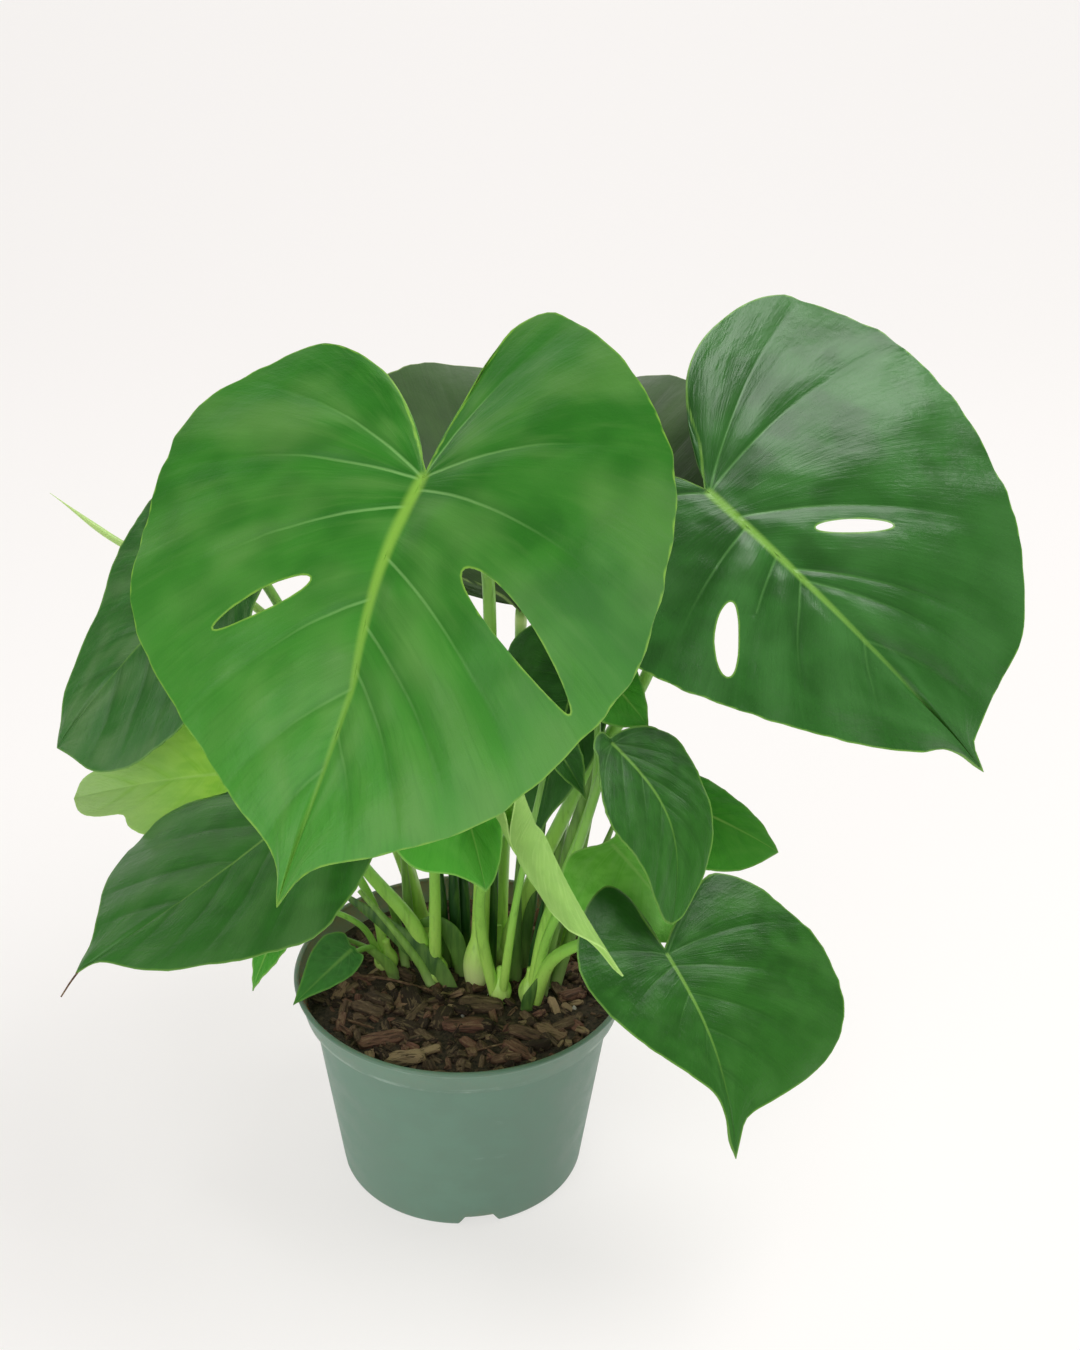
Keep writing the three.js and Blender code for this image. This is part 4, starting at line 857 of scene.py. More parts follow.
class Shader:
    """A node material under construction."""

    def __init__(self, name):
        self.material = bpy.data.materials.new(name)
        self.material.use_nodes = True
        self.tree = self.material.node_tree
        self.tree.nodes.clear()
        self.surface = self.add("ShaderNodeBsdfPrincipled")
        output = self.add("ShaderNodeOutputMaterial")
        self.tree.links.new(self.surface.outputs["BSDF"], output.inputs["Surface"])

    def add(self, kind, inputs=None, **settings):
        """Adds a node, with its settings and the values or sockets of its inputs."""
        node = self.tree.nodes.new(kind)
        for key, value in settings.items():
            setattr(node, key, value)
        for key, value in (inputs or {}).items():
            self.feed(node.inputs[key], value)
        return node

    def feed(self, socket, value):
        """Links a socket into another one, or sets its value."""
        if isinstance(value, bpy.types.NodeSocket):
            self.tree.links.new(value, socket)
        else:
            socket.default_value = value

    def finish(self, **values):
        """Feeds inputs of the surface and gives the material."""
        for key, value in values.items():
            self.feed(self.surface.inputs[key.replace("_", " ")], value)
        return self.material

    def fact(self, name):
        """A number stored in the mesh."""
        return self.add("ShaderNodeAttribute", attribute_name=name).outputs["Fac"]

    def place(self, scale=(1, 1, 1), attribute=None):
        """Object coordinates, or a vector stored in the mesh, stretched."""
        if attribute:
            vector = self.add("ShaderNodeAttribute", attribute_name=attribute).outputs["Vector"]
        else:
            vector = self.add("ShaderNodeTexCoord").outputs["Object"]
        return self.add("ShaderNodeMapping", {"Vector": vector, "Scale": scale}).outputs["Vector"]

    def noise(self, scale, detail=3.0, vector=None, roughness=0.55):
        """A noise value round 0.5."""
        inputs = {"Scale": scale, "Detail": detail, "Roughness": roughness}
        if vector:
            inputs["Vector"] = vector
        return self.add("ShaderNodeTexNoise", inputs).outputs["Fac"]

    def grain(self, stretch, detail, roughness=0.55):
        """A noise value that follows the grain stored in the mesh."""
        return self.noise(1.0, detail, self.place(stretch, "grain"), roughness)

    def remap(self, value, low, high, start=0.0, end=1.0):
        """A value from one range carried smoothly into another."""
        inputs = {"Value": value, "From Min": low, "From Max": high, "To Min": start, "To Max": end}
        return self.add("ShaderNodeMapRange", inputs, interpolation_type="SMOOTHSTEP").outputs["Result"]

    def math(self, operation, first, second):
        """Arithmetic on two values."""
        return self.add("ShaderNodeMath", {0: first, 1: second}, operation=operation).outputs["Value"]

    def times(self, first, second):
        """The product of two values."""
        return self.math("MULTIPLY", first, second)

    def blend(self, share, first, second):
        """A colour between two colours, given as screen colours or sockets."""
        first, second = (linear(c) if isinstance(c, tuple) else c for c in (first, second))
        node = self.add("ShaderNodeMix", {0: share, 6: first, 7: second}, data_type="RGBA")
        return node.outputs[2]

    def layers(self, colour, colours, *rows):
        """A colour under others: the name of each, the value that it follows, its range and the cover's."""
        for key, value, low, high, start, end in rows:
            colour = self.blend(self.remap(value, low, high, start, end), colour, colours[key])
        return colour

    def bump(self, height, distance, strength=1.0):
        """A normal from a height map, with its depth in metres."""
        inputs = {"Height": height, "Distance": distance, "Strength": strength}
        return self.add("ShaderNodeBump", inputs).outputs["Normal"]


def full_look(look):
    """A leaf look with what it takes over from the look that it is like and from the plain one."""
    return {**PLAIN_LOOK, **LEAF_LOOKS.get(look.get("like"), {}), **look}


def leaf_material(name, look):
    """Waxy blade: green that changes towards the tip, partly as painted light, with painted shade on the
    lobes and in the furrows along side veins, painted highlights on the crests between veins, painted sheen
    patches, pale fading veins and a pale underside.
    """
    shader = Shader(name)
    sheen_patch, streak = shader.grain((11, 2.6, 1), 1.0), shader.grain((60, 3, 1), 3.0)
    wrinkle, fine = shader.grain((30, 10, 1), 4.0, 0.6), shader.grain((210, 4, 1), 2.0)
    cloud, speckle = shader.noise(9.0, 1.0), shader.noise(420.0, 2.0)
    across, vein, upper, down = (shader.fact(key) for key in ("across", "vein", "upper", "down"))
    colour = shader.layers(
        look["shade"], look,
        ("main", cloud, 0.35, 0.65, 0.0, 1.0),
        # partly the leaf's own colour, partly painted light: the colour shifts to the tip colour towards the
        # tip
        ("tip", down, 0.0, 1.0, 0.0, 1.0),
        # painted shade: the lobes behind the stalk are darker
        ("shade", down, -0.3, 0.15, 0.6, 0.0),
        # painted highlight: the crests of the pillows between side veins are lighter
        ("light", shader.fact("pillow"), 0.3, 1.0, 0.0, look["crest_highlight"]),
        ("light", streak, 0.45, 0.8, 0.0, 0.16),
        ("shade", fine, 0.45, 0.72, 0.0, 0.2),
        # painted sheen: pale patches of the light colour, following the grain
        ("light", sheen_patch, 0.42, 0.72, 0.0, look["sheen_patch"]),
    )
    # painted shade: darker in the furrows along side veins, fading towards the margin
    furrow_shade = shader.remap(vein, 1.4, 6.5, look["furrow_shade"], 0.0)
    furrow_shade = shader.times(furrow_shade, shader.remap(across, 0.25, 0.8, 1.0, 0.2))
    colour = shader.blend(furrow_shade, colour, look["shade"])
    fade = shader.remap(across, 0.02, look["reach"], look["vein_show"], 0.0)
    fade = shader.times(fade, shader.remap(down, 0.0, 0.75, 1.0, 0.3))
    line = shader.times(shader.remap(vein, 0.2, 1.5, 1.0, 0.0), fade)
    colour = shader.blend(line, colour, look["vein"])
    rib = shader.remap(shader.fact("rib"), 0.25, look["rib_end"], look["rib_show"], 0.0)
    rib = shader.times(rib, shader.remap(down, 0.1, 0.85, 1.0, look["rib_fade"]))
    colour = shader.blend(rib, colour, look["rib"])
    rim = shader.remap(shader.fact("edge"), 0.3, 1.0, look["rim_show"], 0.0)
    colour = shader.blend(rim, colour, look["rib"])
    under = shader.layers(
        look["under"], look,
        ("main", cloud, 0.3, 0.7, 0.14, 0.3),
        ("rib", streak, 0.45, 0.75, 0.0, 0.2),
    )
    for share in (shader.times(line, 0.7), rim):
        under = shader.blend(share, under, look["rib"])
    colour = shader.blend(upper, under, colour)
    rough = shader.math("ADD", shader.remap(streak, 0.3, 0.7, 0.03, -0.03), look["rough"])
    rough = shader.math("ADD", rough, shader.remap(upper, 0.0, 1.0, 0.2, 0.0))
    relief = shader.math("ADD", shader.times(fine, 0.25), shader.times(streak, 0.45))
    relief = shader.math("ADD", relief, shader.times(speckle, 0.15))
    relief = shader.math("ADD", relief, shader.times(wrinkle, shader.remap(across, 0.2, 0.8, 0.3, 1.2)))
    return shader.finish(Base_Color=colour, Roughness=rough, Normal=shader.bump(relief, 0.0007, 0.55),
                         Specular_IOR_Level=look["gloss"], Subsurface_Weight=0.04,
                         Subsurface_Radius=(0.002, 0.004, 0.001))


def stalk_material():
    """Smooth living stalk, pale at its foot and duller towards the blade."""
    shader = Shader("living_stalk")
    share = shader.fact("share")
    streak = shader.noise(60.0, 3.0, shader.place((6, 6, 0.4)))
    colour = shader.layers(
        STALK_COLOURS["low"], STALK_COLOURS,
        ("middle", share, 0.0, 0.5, 0.0, 1.0),
        ("top", share, 0.6, 1.0, 0.0, 0.9),
        ("dark", streak, 0.5, 0.75, 0.0, 0.45),
        ("top", shader.noise(45.0, 3.0), 0.55, 0.75, 0.0, 0.3),
    )
    colour = shader.blend(shader.fact("pale"), colour, STALK_COLOURS["pale"])
    return shader.finish(Base_Color=colour, Roughness=0.42, Normal=shader.bump(streak, 0.0006, 0.4),
                         Coat_Weight=0.15, Specular_IOR_Level=0.35, Subsurface_Weight=0.1,
                         Subsurface_Radius=(0.003, 0.005, 0.001))


def shoot_material():
    """Young shoots and sheaths: pale where fresh, dark green where old and, in the gaps between the stems, as
    painted shade, with fine lines along them.
    """
    shader = Shader("shoot_green")
    streak = shader.noise(60.0, 3.0, shader.place((6, 6, 0.6)))
    dark = shader.math("ADD", shader.fact("dark"), shader.remap(streak, 0.3, 0.7, -0.15, 0.15))
    colour = shader.blend(dark, SHOOT_COLOURS["pale"], SHOOT_COLOURS["dark"])
    colour = shader.blend(shader.fact("pale"), colour, SHOOT_COLOURS["foot"])
    return shader.finish(Base_Color=colour, Roughness=0.42, Normal=shader.bump(streak, 0.0006, 0.4),
                         Specular_IOR_Level=0.3)


def plastic_material():
    """Satin green nursery plastic with a darker lip, a painted highlight along the collar's foot and scuffs.
    """
    shader = Shader("nursery_plastic")
    cloud, scuff = shader.noise(9.0, 3.0), shader.noise(30.0, 5.0, shader.place((1, 1, 5)), 0.7)
    height = shader.add("ShaderNodeSeparateXYZ", {"Vector": shader.place()}).outputs["Z"]
    colour = shader.layers(
        PLASTIC["shade"], PLASTIC,
        ("main", cloud, 0.35, 0.65, 0.0, 1.0),
        ("lip", height, *LIP_HEIGHTS, 0.0, 0.6),
        ("scuff", scuff, 0.62, 0.78, 0.0, 0.25),
    )
    # painted highlight: a pale band along the collar's foot, broken up by the scuff noise
    start, peak, end = COLLAR_HIGHLIGHT_HEIGHTS
    collar_highlight = shader.times(shader.remap(height, start, peak), shader.remap(height, end, peak))
    collar_highlight = shader.times(collar_highlight, shader.remap(scuff, 0.48, 0.62, 0.0, 0.5))
    colour = shader.blend(collar_highlight, colour, PLASTIC["collar_highlight"])
    return shader.finish(Base_Color=colour, Roughness=shader.remap(cloud, 0.3, 0.7, 0.36, 0.5),
                         Normal=shader.bump(shader.noise(900.0, 2.0), 0.00015, 0.5), Subsurface_Weight=0.05)


def bark_material():
    """Bark: each piece with its own tone, with darker and lighter layers along its length."""
    shader = Shader("bark")
    tone = shader.fact("tone")
    bands, flecks = shader.grain((0.35, 2.2, 3.5), 4.0, 0.65), shader.grain((3, 6, 6), 3.0, 0.7)
    colour = shader.layers(
        BARK["dark"], BARK,
        ("main", tone, 0.1, 0.5, 0.0, 1.0),
        ("red", tone, 0.6, 0.78, 0.0, 1.0),
        ("light", tone, 0.88, 0.96, 0.0, 1.0),
        ("dark", bands, 0.5, 0.62, 0.0, 0.75),
        ("light", bands, 0.46, 0.36, 0.0, 0.4),
        ("dark", flecks, 0.58, 0.72, 0.0, 0.6),
    )
    relief = shader.math("ADD", bands, shader.times(flecks, 0.5))
    return shader.finish(Base_Color=colour, Roughness=0.78, Normal=shader.bump(relief, 0.0016, 0.9),
                         Specular_IOR_Level=0.3)


def rough_material(name, colours, scale, depth):
    """Soil or dry litter: broken colours and a rough surface, with the bump's depth in metres."""
    shader = Shader(name)
    coarse, fine = shader.noise(scale, 5.0, roughness=0.7), shader.noise(scale * 6, 4.0, roughness=0.7)
    bands = shader.noise(scale * 2.2, 3.0, shader.place((1, 1, 4)))
    colour = shader.layers(
        colours["dark"], colours,
        ("main", coarse, 0.35, 0.62, 0.0, 1.0),
        ("light", bands, 0.56, 0.72, 0.0, 0.7),
        ("dark", fine, 0.55, 0.72, 0.0, 0.55),
    )
    normal = shader.bump(shader.math("ADD", coarse, shader.times(fine, 0.6)), depth, 0.9)
    return shader.finish(Base_Color=colour, Roughness=0.9, Normal=normal)


def add_piece(name, mesh, node, slot, material):
    """Links an object that belongs to a node of the frame and gives it its material. The slot is not used."""
    piece = linked(name, mesh)
    mesh.materials.clear()
    mesh.materials.append(material)
    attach(piece, BODY)
    if node:
        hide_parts(node)


def pot_wall_radius(height):
    """Radius of the pot's inner wall at a height."""
    share = (height - POT["floor"]) / (COLLAR_START - POT["floor"])
    return mix(POT["base"] - POT["wall"] - 1, POT["body_top"] - POT["wall"], min(max(share, 0), 1))


def arc(middle, radius, start, end, steps):
    """Points on an arc of a circle, from one angle to another in degrees."""
    angles = np.radians(np.linspace(start, end, steps))
    return [(middle[0] + radius * math.cos(a), middle[1] + radius * math.sin(a)) for a in angles]


def pot_profile():
    """Half of the pot cut through its middle, from the floor's underside round to its top."""
    top, rim, wall, lip = (POT[key] for key in ("height", "rim", "wall", "lip"))
    base, foot_round, body_top = (POT[key] for key in ("base", "foot_round", "body_top"))
    collar_foot, ring = POT["collar_foot"], FOOT_RING["height"]
    return [
        (0, 0), (base - foot_round, 0), *arc((base - foot_round + 0.4, foot_round), foot_round, -80, -2, 7),
        (body_top - 0.05, COLLAR_START - 1.4), (body_top + 0.2, COLLAR_START - 0.9),
        (collar_foot - 0.6, COLLAR_START - 0.15), (collar_foot, COLLAR_START + 0.35),
        (rim - 1.5, top - lip - 1.2), (rim - 1.0, top - lip),
        *arc((rim - lip / 2, top - lip / 2), lip / 2, -35, 180, 11), (rim - lip, top - lip),
        (collar_foot - wall, COLLAR_START + POT["ledge"]), (body_top - wall, COLLAR_START - 0.5),
        (pot_wall_radius(ring), ring), (FLOOR_RADIUS + 1, ring - 0.5),
        (FLOOR_RADIUS, POT["floor"]), (0, POT["floor"]),
    ]


def cut(mesh, cutters):
    """A mesh with closed cutters taken out of it."""
    points, faces = joined(cutters)
    body, tool = linked("cut_body", mesh), linked("cut_tool", make_mesh("cut_tool", points, faces))
    modifier = body.modifiers.new("cut", "BOOLEAN")
    modifier.operation = "DIFFERENCE"
    modifier.solver = "EXACT"
    modifier.object = tool
    graph = bpy.context.evaluated_depsgraph_get()
    result = bpy.data.meshes.new_from_object(body.evaluated_get(graph))
    for item in (body, tool):
        bpy.data.objects.remove(item)
    return result


def moved(points, matrix):
    """Points carried by a matrix."""
    return [tuple(matrix @ Vector(point)) for point in points]


def even_turns(row):
    """Angles in radians of what stands evenly round the pot."""
    return [math.radians(row["first_angle"] + 360 / row["count"] * i) for i in range(row["count"])]


def pot_cutters():
    """Wedges for the foot notches and drums for the drain holes."""
    cutters = []
    wide, narrow, high, reach = (FOOT_NOTCH[k] for k in ("width", "top_width", "height", "reach"))
    section = [(-wide / 2, -1), (wide / 2, -1), (narrow / 2, high), (-narrow / 2, high)]
    points = [(POT["base"] + x, y, z) for x in (-reach, reach) for y, z in section]
    faces = [(0, 3, 2, 1), (4, 5, 6, 7)] + [(k, (k + 1) % 4, (k + 1) % 4 + 4, k + 4) for k in range(4)]
    for turn in even_turns(FOOT_NOTCH):
        cutters.append((moved(points, Matrix.Rotation(turn, 4, "Z")), faces))
    radius, ring = DRAIN_HOLE["radius"], DRAIN_HOLE["ring"]
    points, faces = turned([(0, -5), (radius, -5), (radius, 5), (0, 5)], 32)
    for turn in even_turns(DRAIN_HOLE):
        shift = Matrix.Translation((ring * math.cos(turn), ring * math.sin(turn), 0))
        cutters.append((moved(points, shift), faces))
    return cutters


def seeded(seed):
    """Random numbers by the same rule as in the part's source."""
    state = [seed]

    def draw():
        state[0] = (state[0] * 1664525 + 1013904223) % 4294967296
        return state[0] / 4294967296

    return draw


def ripples(points, scale, seed):
    """Smooth noise between about -1 and 1 at points, from sums of waves."""
    rng = np.random.default_rng(seed)
    total = np.zeros(len(points))
    for octave in range(4):
        for _ in range(5):
            wave = rng.normal(size=points.shape[1]) / scale * 2 ** octave
            total += np.sin(points @ wave + rng.uniform(0, 6.28)) / 5 / 1.7 ** octave
    return total


def rings_in_plan(radii, spokes):
    """Spots in plan on rings round the middle."""
    angles = 2 * math.pi * np.arange(spokes) / spokes
    return [(radius * math.cos(angle), radius * math.sin(angle)) for radius in radii for angle in angles]


def mix_surface(points):
    """Height of the potting mix above spots in plan."""
    radius = np.linalg.norm(points, axis=1)
    lumps = sum(height * ripples(points, size, seed) for height, size, seed in MIX_LUMPS)
    calm = smoothstep((MIX["radius"] - radius) / 4)
    return MIX["top"] + MIX["dome"] * (1 - np.minimum(radius / MIX["radius"], 1)) + lumps * calm * 1.1


def mix_mesh():
    """Potting mix: fills the pot, with a lumpy top."""
    rings, spokes, ring = MIX["rings"], MIX["spokes"], FOOT_RING["height"]
    plan = rings_in_plan(np.linspace(MIX["radius"], 0, rings + 1)[:-1], spokes)
    plan = np.array([*plan, (0, 0)])
    top = np.column_stack([plan, mix_surface(plan)])
    side = [
        (MIX["radius"], COLLAR_START + POT["ledge"] + 0.5),
        (POT["body_top"] - POT["wall"] - 0.4, COLLAR_START - 0.6),
        (pot_wall_radius(ring) - 0.4, ring + 0.4), (FLOOR_RADIUS + 0.6, ring + 0.2),
        (FLOOR_RADIUS - 0.3, POT["floor"] + 0.3),
    ]
    below = rings_in_plan([radius for radius, _ in side], spokes)
    below = np.column_stack([below, np.repeat([height for _, height in side], spokes)])
    starts = [len(top) + k * spokes for k in reversed(range(len(side)))] + [k * spokes for k in range(rings)]
    levels = [list(range(start, start + spokes)) for start in starts]
    faces = [tuple(levels[0][::-1])]
    for low, high in zip(levels[:-1], levels[1:]):
        faces += [(low[k], low[(k + 1) % spokes], high[(k + 1) % spokes], high[k]) for k in range(spokes)]
    faces += [(levels[-1][k], levels[-1][(k + 1) % spokes], rings * spokes) for k in range(spokes)]
    return make_mesh("mix_body", np.vstack([top, below]), faces, 40)


def bark_piece(length, width, thickness, seed):
    """Points and faces of a broken piece of bark: layers of a jagged outline."""
    rng = np.random.default_rng(seed)
    count = BARK_CORNERS
    angles = 2 * math.pi * (np.arange(count) + rng.uniform(-0.3, 0.3, count)) / count
    square = 1 / np.maximum(np.abs(np.cos(angles)), np.abs(np.sin(angles))) ** 0.7
    reach = square * rng.uniform(0.86, 1.0, count) / 1.08
    outline = np.column_stack([np.cos(angles) * reach * length / 2, np.sin(angles) * reach * width / 2])
    points = []
    for height, size in BARK_LAYERS:
        jitter = rng.uniform(-0.035, 0.035, (count, 2)) * length * 0.5
        bend = 0.1 * thickness * np.sin(outline[:, 0] / length * 5 + seed)
        rough = rng.uniform(-0.08, 0.08, count) * thickness
        points += np.column_stack([outline * size + jitter, height * thickness + bend + rough]).tolist()
    faces = ring_faces(len(BARK_LAYERS), count)
    for level, flip in ((0, True), (len(BARK_LAYERS) - 1, False)):
        middle = len(points)
        ring = [level * count + k for k in range(count)]
        rise = 0.06 * thickness * (-1 if flip else 1)
        points.append(np.mean([points[k] for k in ring], axis=0) + [0, 0, rise])
        for k in range(count):
            a, b = ring[k], ring[(k + 1) % count]
            faces.append((b, a, middle) if flip else (a, b, middle))
    return points, faces


def bark_mesh(name, pieces):
    """A mesh of bark pieces, given as points, faces, place and tone. It notes their tone and own axes."""
    points, faces = joined([(moved(local, matrix), loops) for local, loops, matrix, _ in pieces])
    mesh = make_mesh(name, points, faces, 35)
    tones = np.concatenate([np.full(len(local), tone) for local, _, _, tone in pieces])
    grain = np.vstack([np.asarray(local) / 3 + 10 * tone for local, _, _, tone in pieces])
    note(mesh, tone=tones, grain=grain)
    return mesh


def placed(at, turns):
    """A matrix that turns a piece about X, Y and Z, in radians, and then puts it in its place."""
    matrix = Matrix.Translation(at)
    for axis, value in zip("XYZ", turns):
        matrix = matrix @ Matrix.Rotation(value, 4, axis)
    return matrix


def bark_slabs():
    """The larger bark slabs, where the part's source has its chips, and some more that lie on the mix."""
    random = seeded(SLABS["seed"])

    def between(pair):
        return mix(pair[0], pair[1], random())

    parts = []
    for i in range(SLABS["count"]):
        length = between(SLABS["length"])
        width = length * between(SLABS["aspect"])
        thickness = between(SLABS["thickness"])
        ring = math.sqrt(mix(SLABS["ring"][0] ** 2, SLABS["ring"][1] ** 2, random()))
        angle = 2 * math.pi * ((i * SLABS["turn"]) % 1)
        tilt_x, tilt_y = (SLABS["tilt"] * (random() - 0.5) for _ in range(2))
        turn = math.pi * random()
        height = MIX["top"] + MIX["dome"] * (1 - ring / MIX["radius"]) + SLABS["stand"]
        matrix = placed((ring * math.cos(angle), ring * math.sin(angle), height), (tilt_x, tilt_y, turn))
        parts.append((*bark_piece(length, width, thickness, i + 1), matrix, (0.37 * i) % 1))
    for i, (at, turn, tilt, size, tone) in enumerate(SLAB_LITTER):
        matrix = placed(at, (math.radians(tilt), 0, math.radians(turn)))
        parts.append((*bark_piece(*size, SLAB_LITTER_SEED + i), matrix, tone))
    return parts


def scatter_group():
    """Geometry nodes that scatter turned and scaled copies of a chip over a surface, each with a tone."""
    group = bpy.data.node_groups.new("scatter_chips", "GeometryNodeTree")
    kinds = {"Geometry": "Geometry", "Chip": "Object", "Per Area": "Float", "Smallest": "Float",
             "Largest": "Float", "Seed": "Int", "Material": "Material"}
    for label, kind in kinds.items():
        group.interface.new_socket(label, in_out="INPUT", socket_type=f"NodeSocket{kind}")
    group.interface.new_socket("Geometry", in_out="OUTPUT", socket_type="NodeSocketGeometry")
    nodes, links = group.nodes, group.links
    start = nodes.new("NodeGroupInput").outputs
    end = nodes.new("NodeGroupOutput")
    spread = nodes.new("GeometryNodeDistributePointsOnFaces")
    info = nodes.new("GeometryNodeObjectInfo")
    copies = nodes.new("GeometryNodeInstanceOnPoints")
    turn, size = nodes.new("FunctionNodeRandomValue"), nodes.new("FunctionNodeRandomValue")
    real, paint = nodes.new("GeometryNodeRealizeInstances"), nodes.new("GeometryNodeSetMaterial")
    tone, store = nodes.new("FunctionNodeRandomValue"), nodes.new("GeometryNodeStoreNamedAttribute")
    for item, kind in ((tone, "FLOAT"), (store, "FLOAT"), (turn, "FLOAT_VECTOR"), (size, "FLOAT")):
        item.data_type = kind
    tone.inputs["Seed"].default_value = CHIP_TONE_SEED
    store.domain = "POINT"
    store.inputs["Name"].default_value = "tone"
    turn.inputs["Max"].default_value = CHIP_TURNS
    for source, target in (
        (start["Geometry"], spread.inputs["Mesh"]), (start["Per Area"], spread.inputs["Density"]),
        (start["Seed"], spread.inputs["Seed"]), (start["Seed"], turn.inputs["Seed"]),
        (start["Chip"], info.inputs["Object"]), (info.outputs["Geometry"], copies.inputs["Instance"]),
        (spread.outputs["Points"], store.inputs["Geometry"]), (tone.outputs[1], store.inputs["Value"]),
        (store.outputs["Geometry"], copies.inputs["Points"]),
        (turn.outputs["Value"], copies.inputs["Rotation"]),
        (start["Smallest"], size.inputs[2]), (start["Largest"], size.inputs[3]),
        (size.outputs[1], copies.inputs["Scale"]), (copies.outputs["Instances"], real.inputs["Geometry"]),
        (real.outputs["Geometry"], paint.inputs["Geometry"]), (start["Material"], paint.inputs["Material"]),
        (paint.outputs["Geometry"], end.inputs["Geometry"]),
    ):
        links.new(source, target)
    return group


def ground_mesh():
    """The top of the mix without its border, for small litter to lie on."""
    rings, spokes = GROUND["rings"], GROUND["spokes"]
    plan = np.array(rings_in_plan(np.linspace(GROUND["outer"], GROUND["inner"], rings), spokes))
    return make_mesh("ground", np.column_stack([plan, mix_surface(plan)]), ring_faces(rings, spokes))


def add_litter(name, material, per_area, first_seed):
    """One kind of small litter, scattered over the mix."""
    shape, shape_seed, seed, (smallest, largest) = LITTER[name]
    chip_mesh = bark_mesh("chip", [(*bark_piece(*shape, shape_seed), Matrix.Identity(4), 0)])
    chip_mesh.attributes.remove(chip_mesh.attributes["tone"])
    ground, chip = linked("ground", ground_mesh()), linked("chip", chip_mesh)
    modifier = ground.modifiers.new("scatter", "NODES")
    modifier.node_group = scatter_group()
    values = {"Chip": chip, "Per Area": per_area, "Smallest": smallest, "Largest": largest,
              "Seed": first_seed + seed, "Material": material}
    for socket in modifier.node_group.interface.items_tree:
        if socket.name in values:
            modifier[socket.identifier] = values[socket.name]
    graph = bpy.context.evaluated_depsgraph_get()
    mesh = bpy.data.meshes.new_from_object(ground.evaluated_get(graph))
    mesh.name = name
    ground.modifiers.remove(modifier)
    for item in (ground, chip):
        bpy.data.objects.remove(item)
    add_piece(name, mesh, None, "potting_mix", material)


def stem_lathe(at, radius, height):
    """The short stem of a plantlet: swollen at the mix and drawn in towards its stalks."""
    foot = MIX["top"] + 2
    profile = [(0, STEM_FLOOR), (radius * 0.6, STEM_FLOOR), (radius * 0.7, foot - 6), (radius * 0.76, foot)]
    for share in np.linspace(0.08, 1, 14).tolist():
        swell = 0.22 * math.sin(math.pi * min(share / 0.7, 1))
        width = mix(0.76, 0.3, smoothstep((share - 0.2) / 0.8)) + swell
        profile.append((radius * width, foot + height * share))
    points, faces = turned([*profile, (0, foot + height + 1)], 28)
    return points + np.array([at[0], at[1], 0]), faces


def plantlet_mesh(name, settings):
    """A plantlet's stem with its stalks, the rolled new leaf where it has one, and the swollen foot."""
    plant = PLANTLETS[name]
    start = (*plant["at"], MIX["top"] - STALK_START)
    points, faces = stem_lathe(plant["at"], plant["radius"], plant["height"])
    rise = (points[:, 2] - MIX["top"]) / plant["height"]
    pale = STEM_PALE.get(name, PLAIN_STEM_PALE) * smoothstep(1.25 - rise / 0.6)
    shells = [(points, faces, np.zeros(len(points)), pale)]
    for leaf, route, radii in plant["stalks"]:
        blade = Blade(leaf)
        thick, thin = (STEM_SLIMNESS * radius for radius in radii)
        seat = blade.junction - (RIB_DEPTH + SEAT_GAP) * blade.normal

        def radius_at(share, thick=thick, thin=thin):
            knee = KNEE["swell"] * math.exp(-((share - KNEE["at"]) / KNEE["spread"]) ** 2)
            return mix(thin, thick, (1 - share) ** 1.6) * (1 + knee * settings.knee)

        line = smooth_line([start, *route, blade.leaf["junction"]])
        shell = tube(line, radius_at, 20, 64, (seat, blade.normal), settings.groove_share)
        shells.append((*shell, 0.7 * np.exp(-((shell[2] - 0.96) / 0.03) ** 2)))
    if SPEAR["plantlet"] == name:
        thick, thin = SPEAR["radius"]

        def slender(share):
            return mix(thin, thick, (1 - share) ** 1.6) * (1 - 0.92 * smoothstep((share - 0.9) / 0.1))

        shell = tube(smooth_line([start, *SPEAR["route"]]), slender, 20, 90)
        shells.append((*shell, 0.5 * shell[2]))
    mesh = make_mesh(f"{name}_stalks", *joined([shell[:2] for shell in shells]), 60)
    share, pale = (np.concatenate([shell[k] for shell in shells]) for k in (2, 3))
    note(mesh, share=share, pale=pale)
    return mesh


def shoots_mesh():
    """Young shoots and sheaths that stand between the stems."""
    shells, darks, pales = [], [], []
    for route, widths, flat, dark in SHOOTS:
        knots = np.linspace(0, 1, len(widths))

        def width_at(share, widths=widths, knots=knots):
            return float(np.interp(share, knots, widths))

        points, faces, share = tube(smooth_line(route), width_at, 16, 40, flat=flat)
        shells.append((points, faces))
        darks.append(dark * np.clip(0.4 + 2 * share, 0, 1))
        pales.append((1 - dark) * smoothstep(1 - share / 0.3))
    mesh = make_mesh("young_shoots", *joined(shells), 70)
    note(mesh, dark=np.concatenate(darks), pale=np.concatenate(pales))
    return mesh


def sticks_mesh():
    """Dry sticks in the mix, and the dried thread at a leaf's tip."""
    shells = []
    for ends, radius in STICKS:
        points, faces, _ = tube(smooth_line(ends), lambda share, foot=radius: foot * (1 - 0.3 * share), 8, 14)
        jitter = 0.12 * radius * ripples(points, 1.2, 9)
        shells.append((points + jitter[:, None], faces))
    return make_mesh("dry_sticks", *joined(shells), 50)


def area_light(name, place, target, size, power):
    """A square soft light that faces a point."""
    light = bpy.data.lights.new(name, "AREA")
    light.shape = "SQUARE"
    light.size = size
    light.energy = power
    item = linked(name, light)
    item.location = place
    item.rotation_euler = (Vector(target) - Vector(place)).to_track_quat("-Z", "Y").to_euler()


